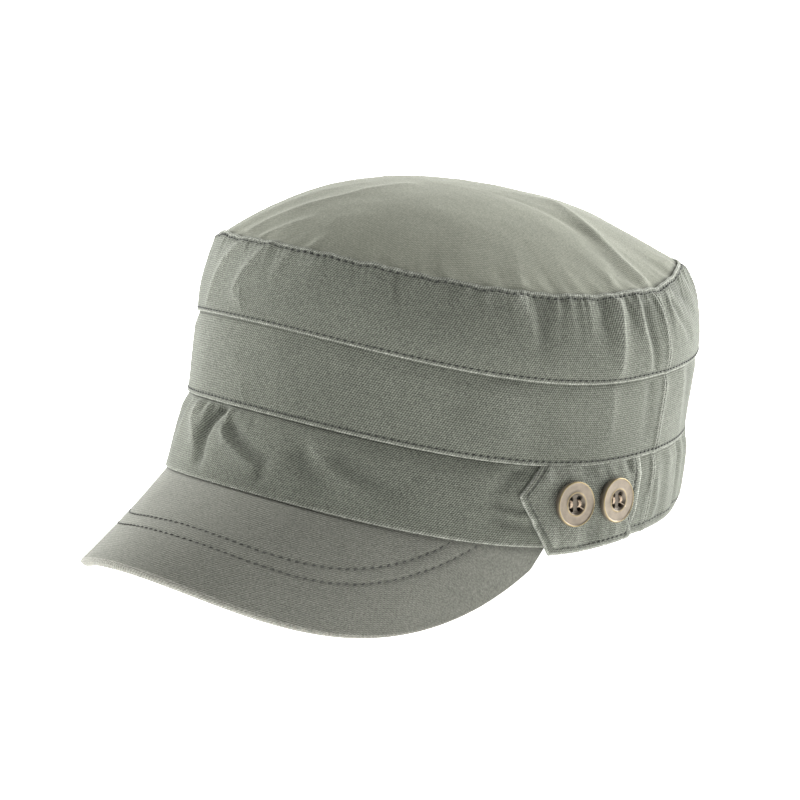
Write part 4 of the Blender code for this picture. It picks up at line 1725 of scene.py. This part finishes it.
@dataclass(frozen=True)
class SideTab:
    """The pointed tab, laid on the lower band over the side."""

    wall: Wall
    length: float = 0.0556
    point: float = 0.0067
    drop: float = 0.0027
    seam_distance: float = 0.0106
    tip_share: float = 0.61
    taper_to_rear: float = 0.9
    lift: float = 0.0015
    edge_drop: float = 0.0004
    wrinkle_mm: float = 1.00
    crumple_mm: float = 0.22
    rear_row_deg: float = 1.9
    rear_groove_mm: float = 0.35
    flat_height: float = 0.0300
    flat_area: float = 0.00145
    edge: SeamDetail = SeamDetail(
        stitch_mm=2.0, pitch_mm=2.6, welt_mm=0.22, groove_mm=0.26, groove_width_mm=0.38, pucker_mm=0.04
    )
    thread: Lockstitch = Lockstitch(pitch_mm=2.4, length_mm=1.7, radius_mm=0.20)

    def angle_ahead(self, distance: float) -> float:
        """Angle at a distance ahead of the side seam."""
        seam = self.wall.form.around(np.radians(self.wall.form.side_seam_deg))
        return float(self.wall.form.angle_at(seam - distance))

    def outline(self) -> dict[str, tuple[float, float]]:
        """Corners of the tab.

        Returns:
            Angle and height share of each corner, by its name.
        """
        form = self.wall.form
        height = form.heights[Level.LOWER]
        cut = form.peak_cut_share * math.radians(form.peak_end_deg)
        return {
            "bottom": (cut + form.gap * 4 / form.half_width, -self.drop / height),
            "tip": (self.angle_ahead(self.seam_distance + self.length), self.tip_share),
            "top": (
                self.angle_ahead(self.seam_distance + self.length - self.point),
                1 - 2 * form.gap / height,
            ),
            "rear": (self.angle_ahead(self.seam_distance), self.tip_share),
        }

    def edge_distance(self, share: Array, t: Array, bottom: Array) -> Array:
        """Distance of each point from the pointed front edges or the bottom.

        Args:
            share, t: height share and angle of each point.
            bottom: height share of the bottom edge there.

        Returns:
            The shortest distances in metres.
        """
        form = self.wall.form
        height = form.heights[Level.LOWER]
        corners = {
            name: np.array((float(form.around(np.array(angle))), up * height))
            for name, (angle, up) in self.outline().items()
        }
        x, y = form.around(t), share * height
        slanted = [
            segment_distance(x, y, corners[low], corners[high])[0]
            for low, high in (("bottom", "tip"), ("tip", "top"))
        ]
        return np.minimum(np.minimum(*slanted), y - bottom * height)

    def grid(self) -> tuple[Array, Array, Array]:
        """Rows from the bottom through the tip to the top, each even from front to rear.

        Returns:
            Angle, height share and the bottom's height share of each point.
        """
        corners = self.outline()
        low, high = corners["bottom"][1], corners["top"][1]
        tip = self.tip_share
        row_shares = np.concatenate([np.linspace(low, tip, 40)[:-1], np.linspace(tip, high, 22)])
        across = np.linspace(0, 1, 130)
        u, row = np.meshgrid(across, row_shares, indexing="ij")
        front_angles = [corners[name][0] for name in ("bottom", "tip", "top")]
        front = np.interp(row, (low, tip, high), front_angles)
        t = front + (corners["rear"][0] - front) * u
        taper = 1 - self.taper_to_rear * u
        share = np.where(row < 0, row * taper, row)
        return t, share, low * taper

    def drawn_in(self, share: Array) -> Array:
        """Depth by which the tab sinks from its lift where it passes under the middle band."""
        past_seam = (share - 1) * self.wall.form.heights[Level.LOWER]
        return self.lift * np.clip(past_seam / self.wall.form.tuck + 1, 0, 1)

    def wrinkle(self, share: Array, t: Array, bottom: Array, distance: Array) -> Array:
        """Upright wrinkles above the hem and below the seam.

        Uneven waves across the tab, times a bell curve of the height, fade out near its edges.

        Args:
            share, t: height share and angle of each point.
            bottom: height share of the tab's bottom edge there.
            distance: distance from the nearest edge.

        Returns:
            Heights from about -1 to 1.
        """
        form = self.wall.form
        height = form.heights[Level.LOWER]
        above_hem = (share - bottom) * height - 5 * MM
        below_seam = (1 - share) * height - 2 * MM
        wave = lattice_noise(form.around(t) + 0.3 * above_hem, 0 * t, 3.2 * MM, 92)
        held = bell(above_hem, 5 * MM) + 0.7 * bell(below_seam, 4 * MM)
        return wave * held * smooth_step(distance, 1 * MM, 4 * MM)

    def make(self) -> list[Object]:
        """The tab, which replaces its CAD node, and its stitches.

        Returns:
            The pieces.
        """
        form = self.wall.form
        height = form.heights[Level.LOWER]
        t, share, bottom = self.grid()
        distance = self.edge_distance(share, t, bottom)
        along, up = form.around(t), share * height
        rear = form.around(self.outline()["rear"][0] * np.ones(1)) - along
        rear_groove = bell(rear - form.half_length * math.radians(self.rear_row_deg), 0.5 * MM)
        wrinkle = self.wrinkle(share, t, bottom, distance)
        relief = self.edge.relief(distance, along + up) - self.rear_groove_mm * MM * rear_groove
        relief = relief + MM * (self.crumple_mm * crumple(along, up, 91) + self.wrinkle_mm * wrinkle)
        edge_drop = self.edge_drop * (1 - smooth_step(distance, 0, 3 * MM))
        base = self.wall.folds(Level.LOWER, np.clip(share, 0, 1), t)
        push = base + self.lift - self.drawn_in(share) - edge_drop
        outer = form.wall(Level.LOWER, share, t, push + relief)
        inner = form.wall(Level.LOWER, share, t, push - form.cloth)
        # Wrinkle crests paler, partly wear and partly painted highlight; the rear fold is worn
        wear = self.edge.wear(distance, along + up) + 0.35 * np.clip(wrinkle, 0, 1)
        wear = wear + 0.6 * (1 - smooth_step(rear, 0.3 * MM, 1.2 * MM)) + 0.10
        # Painted shade in the stitch grooves, in the wrinkles' valleys and in the rear groove
        shade = self.edge.shade(distance, along + up) * 0.8 + 0.35 * np.clip(-wrinkle, 0, 1)
        shade = shade + 0.55 * rear_groove
        data = np.stack([along, up, wear, shade], axis=-1)
        piece = cloth_shell("side_tab_twill", form.rest(outer), form.rest(inner), data)
        dressed(piece, BODY_TWILL)
        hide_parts("side_tab")
        return [piece, *self.sew()]

    def sew(self) -> list[Object]:
        """Rows of stitches along the bottom, the pointed edges and the rear.

        Returns:
            One piece for each row.
        """
        form = self.wall.form
        height = form.heights[Level.LOWER]
        corners = {name: np.array(value) for name, value in self.outline().items()}
        inward = self.edge.stitch_mm * MM
        step_t, step_up = inward / form.half_length, inward / height
        low = corners["bottom"][1]
        rear_t = corners["rear"][0] - math.radians(self.rear_row_deg)
        lines = {
            "tab_bottom_stitches": (
                (corners["bottom"][0] + 0.9 * step_t, low + step_up),
                (corners["rear"][0] - step_t, low * (1 - self.taper_to_rear) + step_up),
            ),
            "tab_point_stitches": (
                (corners["bottom"][0] + 0.7 * step_t, low + 1.2 * step_up),
                (corners["tip"][0] + 1.25 * step_t, corners["tip"][1]),
                (corners["top"][0] + 1.1 * step_t, corners["top"][1] - 0.3 * step_up),
            ),
            "tab_rear_stitches": ((rear_t, 0.10), (rear_t, 0.93)),
        }
        pieces = []
        for name, line in lines.items():
            corner_t, corner_share = np.array(line).T
            place = np.linspace(0, len(line) - 1, 400)
            t = np.interp(place, np.arange(len(line)), corner_t)
            share = np.interp(place, np.arange(len(line)), corner_share)
            base = self.wall.folds(Level.LOWER, np.clip(share, 0, 1), t)
            push = base + self.lift - self.drawn_in(share)
            path = form.wall(Level.LOWER, share, t, push - self.edge.groove_mm * 0.75 * MM)
            normals = form.wall_normal(Level.LOWER, share, t)
            stitches = self.thread.sew(name, form.rest(path), form.rest_direction(normals))
            thread = PALE_THREAD if name == "tab_point_stitches" else SEAM_THREAD
            pieces.append(dressed(stitches, thread))
        return pieces


@dataclass(frozen=True)
class Button:
    """A turned and cast button with a dish, four holes and the thread that holds it.

    Its place counts from the tab's rear edge: 0 for the rear button, 1 for the next.
    """

    tab: SideTab
    node: str
    place: int
    loose_end_mm: float
    margin: float = 0.0068
    spacing: float = 0.0195
    radius: float = 0.0079
    thickness: float = 0.0025
    height_share: float = 0.545
    lift: float = 0.0018
    hole: float = 0.00090
    hole_offset: float = 0.00175
    thread_radius_mm: float = 0.17
    # The front from its middle outwards, as shares of the radius and of the thickness
    profile: Line = (
        (0.0, 0.50), (0.30, 0.52), (0.39, 0.60), (0.44, 0.76), (0.475, 0.92), (0.510, 0.94), (0.55, 0.89),
        (0.61, 0.86), (0.87, 0.87), (0.915, 0.90), (0.945, 0.98), (0.970, 0.98), (0.988, 0.90), (1.0, 0.70),
    )

    def front_height(self, across: Array, x: Array, y: Array) -> Array:
        """Height of the front over its disc.

        By distance from the middle: a low dish, a raised inner rim, a flat ring, a raised outer rim
        that rounds over. Four wells, each a steep smooth step, sink the thread holes.

        Args:
            across: distance of each point from the middle.
            x, y: its place on the disc.

        Returns:
            Heights in metres.
        """
        shares, heights = np.array(self.profile).T
        fine = np.linspace(0, 1, 400)
        kernel = bell(np.linspace(-2, 2, 9), 1.0)
        padded = np.pad(np.interp(fine, shares, heights), len(kernel) // 2, mode="edge")
        smoothed = np.convolve(padded, kernel / kernel.sum(), "valid")
        height = np.interp(across / self.radius, fine, smoothed) * self.thickness
        return height - self.wells(x, y) * 0.42 * self.thickness

    def wells(self, x: Array, y: Array) -> Array:
        """1 in the four thread holes, 0 elsewhere, with a steep smooth step between."""
        off = np.hypot(np.abs(x) - self.hole_offset, np.abs(y) - self.hole_offset)
        return 1 - smooth_step(off, self.hole * 0.86, self.hole * 1.12)

    def pose(self) -> tuple[Array, Array]:
        """Where the button lies on the tab.

        Returns:
            Place of its back, and its axes: across, up and out.
        """
        wall = self.tab.wall
        form = wall.form
        rear = self.tab.seam_distance + self.margin + self.radius
        t = np.array([self.tab.angle_ahead(rear + self.place * self.spacing)])
        share = np.full(1, self.height_share)
        place = form.wall(Level.LOWER, share, t, wall.folds(Level.LOWER, share, t) + self.lift)[0]
        out = form.wall_normal(Level.LOWER, share, t)[0]
        across = unit(np.cross((0, 0, 1), out))
        return place, np.stack([across, np.cross(out, across), out])

    def placed(self, points: Array) -> Array:
        """Points in the button's own axes, moved to their place on the cap at rest."""
        place, axes = self.pose()
        return self.tab.wall.form.rest(points @ axes + place)

    def make(self) -> list[Object]:
        """The button, which replaces its CAD node, and its thread.

        Returns:
            Both pieces.
        """
        angles = np.linspace(0, TAU, 160, endpoint=False)
        inner, outer = np.linspace(0.02, 0.5, 34)[:-1], np.linspace(0.5, 1, 34)
        reaches = self.radius * np.concatenate([inner, outer])[::-1]
        angle, reach = np.meshgrid(angles, reaches, indexing="ij")
        x, y = reach * np.cos(angle), reach * np.sin(angle)
        front = np.stack([x, y, self.front_height(reach, x, y)], axis=-1)
        side = np.linspace(0, 1, 6)[1:-1]
        side_reach = self.radius * (0.90 + 0.10 * np.sin(side * math.pi / 2))
        side_angle, side_r = np.meshgrid(angles, side_reach, indexing="ij")
        side_z = np.broadcast_to(0.7 * self.thickness * side, side_r.shape)
        side_x, side_y = side_r * np.cos(side_angle), side_r * np.sin(side_angle)
        side_points = np.stack([side_x, side_y, side_z], axis=-1)
        outer = np.concatenate([side_points, front], axis=1)
        back = outer.copy()
        back[..., 2] = 0.0
        back[..., :2] *= 0.90
        shares = reach / self.radius
        data = np.zeros((*outer.shape[:2], 4))
        data[..., :2] = outer[..., :2]
        rims = bell(shares - 0.962, 0.020) + 0.8 * bell(shares - 0.51, 0.020)
        data[:, len(side) :, 2] = rims
        wells = self.wells(x, y)
        # Shade: the thread holes are painted near black as their shadow, and the dish keeps its darker film
        data[:, len(side) :, 3] = np.maximum(wells, 0.45 * (1 - smooth_step(shares, 0.42, 0.49)))
        name = self.node + "_brass"
        shell = cloth_shell(name, self.placed(outer), self.placed(back), data, 6, closed=True)
        dressed(shell, BRASS)
        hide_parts(self.node)
        return [shell, self.make_thread()]

    def make_thread(self) -> Object:
        """Two bundles of thread from the upper holes to the lower, and one loose end.

        Each strand is a tube along an arch: a half sine above the dish, with both ends down a hole.

        Returns:
            One piece with all the strands.
        """
        share = np.linspace(0, 1, 13)
        strands = []
        for column in (-1, 1):
            for offset in (-0.30, 0.0, 0.30):
                x = column * self.hole_offset + offset * MM
                x = x + (0.10 * column + 0.25 * offset) * MM * np.sin(np.pi * share)
                y = self.hole_offset * (1 - 2 * share) * 0.74
                z = (0.16 + 0.48 * np.sin(np.pi * share) ** 0.4) * self.thickness + 0.08 * MM
                strands.append(np.stack([x, y, z], axis=-1))
        x = self.hole_offset * (0.9 + 0.9 * share) + self.loose_end_mm * 0.3 * MM * share
        y = -self.hole_offset * (0.55 + 0.55 * share) - self.loose_end_mm * 0.35 * MM * share
        z = (0.45 + 0.40 * np.sin(np.pi * 0.6 * share)) * self.thickness
        strands.append(np.stack([x, y, z], axis=-1))
        path = np.stack(strands)
        ahead = unit(np.gradient(path, axis=1))
        side = unit(np.cross(ahead, np.array((1.0, 0.25, 0.1))))
        up = np.cross(side, ahead)
        angle = np.linspace(0, TAU, 6, endpoint=False)[None, None, :, None]
        radius = self.thread_radius_mm * MM
        turned = side[:, :, None] * np.cos(angle) + up[:, :, None] * np.sin(angle)
        points = path[:, :, None] + radius * turned
        piece = tube_mesh(self.node + "_thread", self.placed(points))
        return dressed(piece, TAN_THREAD)


@dataclass(frozen=True)
class Panel:
    """A soft light: where it stands, its width and height, and its power in watts."""

    name: str
    place: tuple[float, float, float]
    size: tuple[float, float]
    watts: float


@dataclass(frozen=True)
class Studio:
    """A light tent: glowing white floor, soft panels of light and the camera of the picture."""

    azimuth_deg: float = 43.762
    elevation_deg: float = 17.955
    roll_deg: float = -2.666
    target: tuple[float, float, float] = (0.00420, -0.00117, 0.05342)
    distance: float = 1.17888
    lens_mm: float = 148.8
    floor_half: float = 12.0
    floor_glow: float = 1.46
    world_strength: float = 0.08
    aim_height: float = 0.06
    panels: tuple[Panel, ...] = (
        Panel("panel_back", (-0.62, 2.10, 0.60), (2.6, 1.1), 40.0),
        Panel("panel_left", (-1.95, -0.10, 0.48), (2.2, 1.1), 63.0),
        Panel("panel_right", (0.50, 1.94, 0.60), (1.4, 1.1), 74.0),
        Panel("panel_above", (-0.80, -0.40, 2.00), (1.8, 1.8), 40.0),
    )

    def make_floor(self) -> None:
        """A pale floor under the cap, wide enough to fill every view.

        It is a sheet of opal acrylic lit from below, which gives the even white of a light tent and
        brightens every face that looks down.
        """
        mesh = bpy.data.meshes.new("studio_floor")
        reach = self.floor_half
        corners = [(-reach, -reach, 0), (reach, -reach, 0), (reach, reach, 0), (-reach, reach, 0)]
        mesh.from_pydata(corners, [], [(0, 1, 2, 3)])
        floor = bpy.data.objects.new("studio_floor", mesh)
        bpy.context.scene.collection.objects.link(floor)
        material, tree, shader = start_material("opal acrylic lit from below")
        spot = add_node(tree, "TexCoord").outputs["Object"]
        tooth = add_node(tree, "TexNoise", {"Vector": spot, "Scale": 1 / (2 * MM)}).outputs["Fac"]
        tone = add_node(tree, "MapRange", {0: tooth, 1: 0.0, 2: 1.0, 3: 0.93, 4: 0.95})
        looks = {
            "Base Color": tone.outputs["Result"],
            "Roughness": 0.9,
            "Specular IOR Level": 0.1,
            "Emission Color": (1, 1, 1, 1),
            "Emission Strength": self.floor_glow,
        }
        fill(tree, shader, looks)
        mesh.materials.append(material)

    def make_lights(self) -> None:
        """Panels that face the cap from behind, the sides and above, and a dim surround."""
        for panel in self.panels:
            light = bpy.data.lights.new(panel.name, "AREA")
            light.energy = panel.watts
            light.shape = "RECTANGLE"
            light.size, light.size_y = panel.size
            lamp = bpy.data.objects.new(panel.name, light)
            lamp.location = panel.place
            aim = Vector((0, 0, self.aim_height)) - Vector(panel.place)
            lamp.rotation_euler = aim.to_track_quat("-Z", "Y").to_euler()
            lamp.visible_camera = False
            bpy.context.scene.collection.objects.link(lamp)
        world = bpy.data.worlds.new("studio_surround")
        world.use_nodes = True
        backdrop = world.node_tree.nodes["Background"]
        fill(world.node_tree, backdrop, {"Color": (1, 1, 1, 1), "Strength": self.world_strength})
        bpy.context.scene.world = world

    def make_camera(self) -> None:
        """A long lens at the photograph's angle, with the small roll that its picture shows."""
        azimuth, elevation = math.radians(self.azimuth_deg), math.radians(self.elevation_deg)
        reach = math.cos(elevation)
        back = Vector((math.sin(azimuth) * reach, -math.cos(azimuth) * reach, math.sin(elevation)))
        level = Vector((math.cos(azimuth), math.sin(azimuth), 0))
        turned = Matrix.Rotation(math.radians(self.roll_deg), 3, back) @ level
        upward = back.cross(turned)
        lens = bpy.data.cameras.new("camera")
        lens.sensor_width = 36
        lens.lens = self.lens_mm
        lens.clip_start, lens.clip_end = 0.01, 100
        camera = bpy.data.objects.new("camera", lens)
        camera.location = Vector(self.target) + back * self.distance
        camera.rotation_euler = Matrix((turned, upward, back)).transposed().to_euler()
        bpy.context.scene.collection.objects.link(camera)
        bpy.context.scene.camera = camera

    def make(self) -> None:
        """Builds the studio. Standard colours keep the white floor white."""
        bpy.context.scene.view_settings.view_transform = "Standard"
        self.make_floor()
        self.make_lights()
        self.make_camera()


def triangle_count(piece: Object) -> int:
    """Triangles of a piece."""
    piece.data.calc_loop_triangles()
    return len(piece.data.loop_triangles)


def main() -> None:
    """Builds the cap piece by piece, then the studio."""
    logging.basicConfig(level=logging.INFO, format="%(message)s")
    Studio().make()
    form = CapForm()
    wall = Wall(form)
    tab = SideTab(wall)
    makers = (
        wall,
        Crown(form),
        Peak(form),
        tab,
        Button(tab, "button_back", place=0, loose_end_mm=2.3),
        Button(tab, "button_front", place=1, loose_end_mm=1.2),
    )
    total = 0
    for maker in makers:
        for piece in maker.make():
            count = triangle_count(piece)
            total += count
            LOG.info("%s: %d triangles", piece.name, count)
    LOG.info("all pieces: %d triangles", total)


if __name__ == "__main__":
    main()
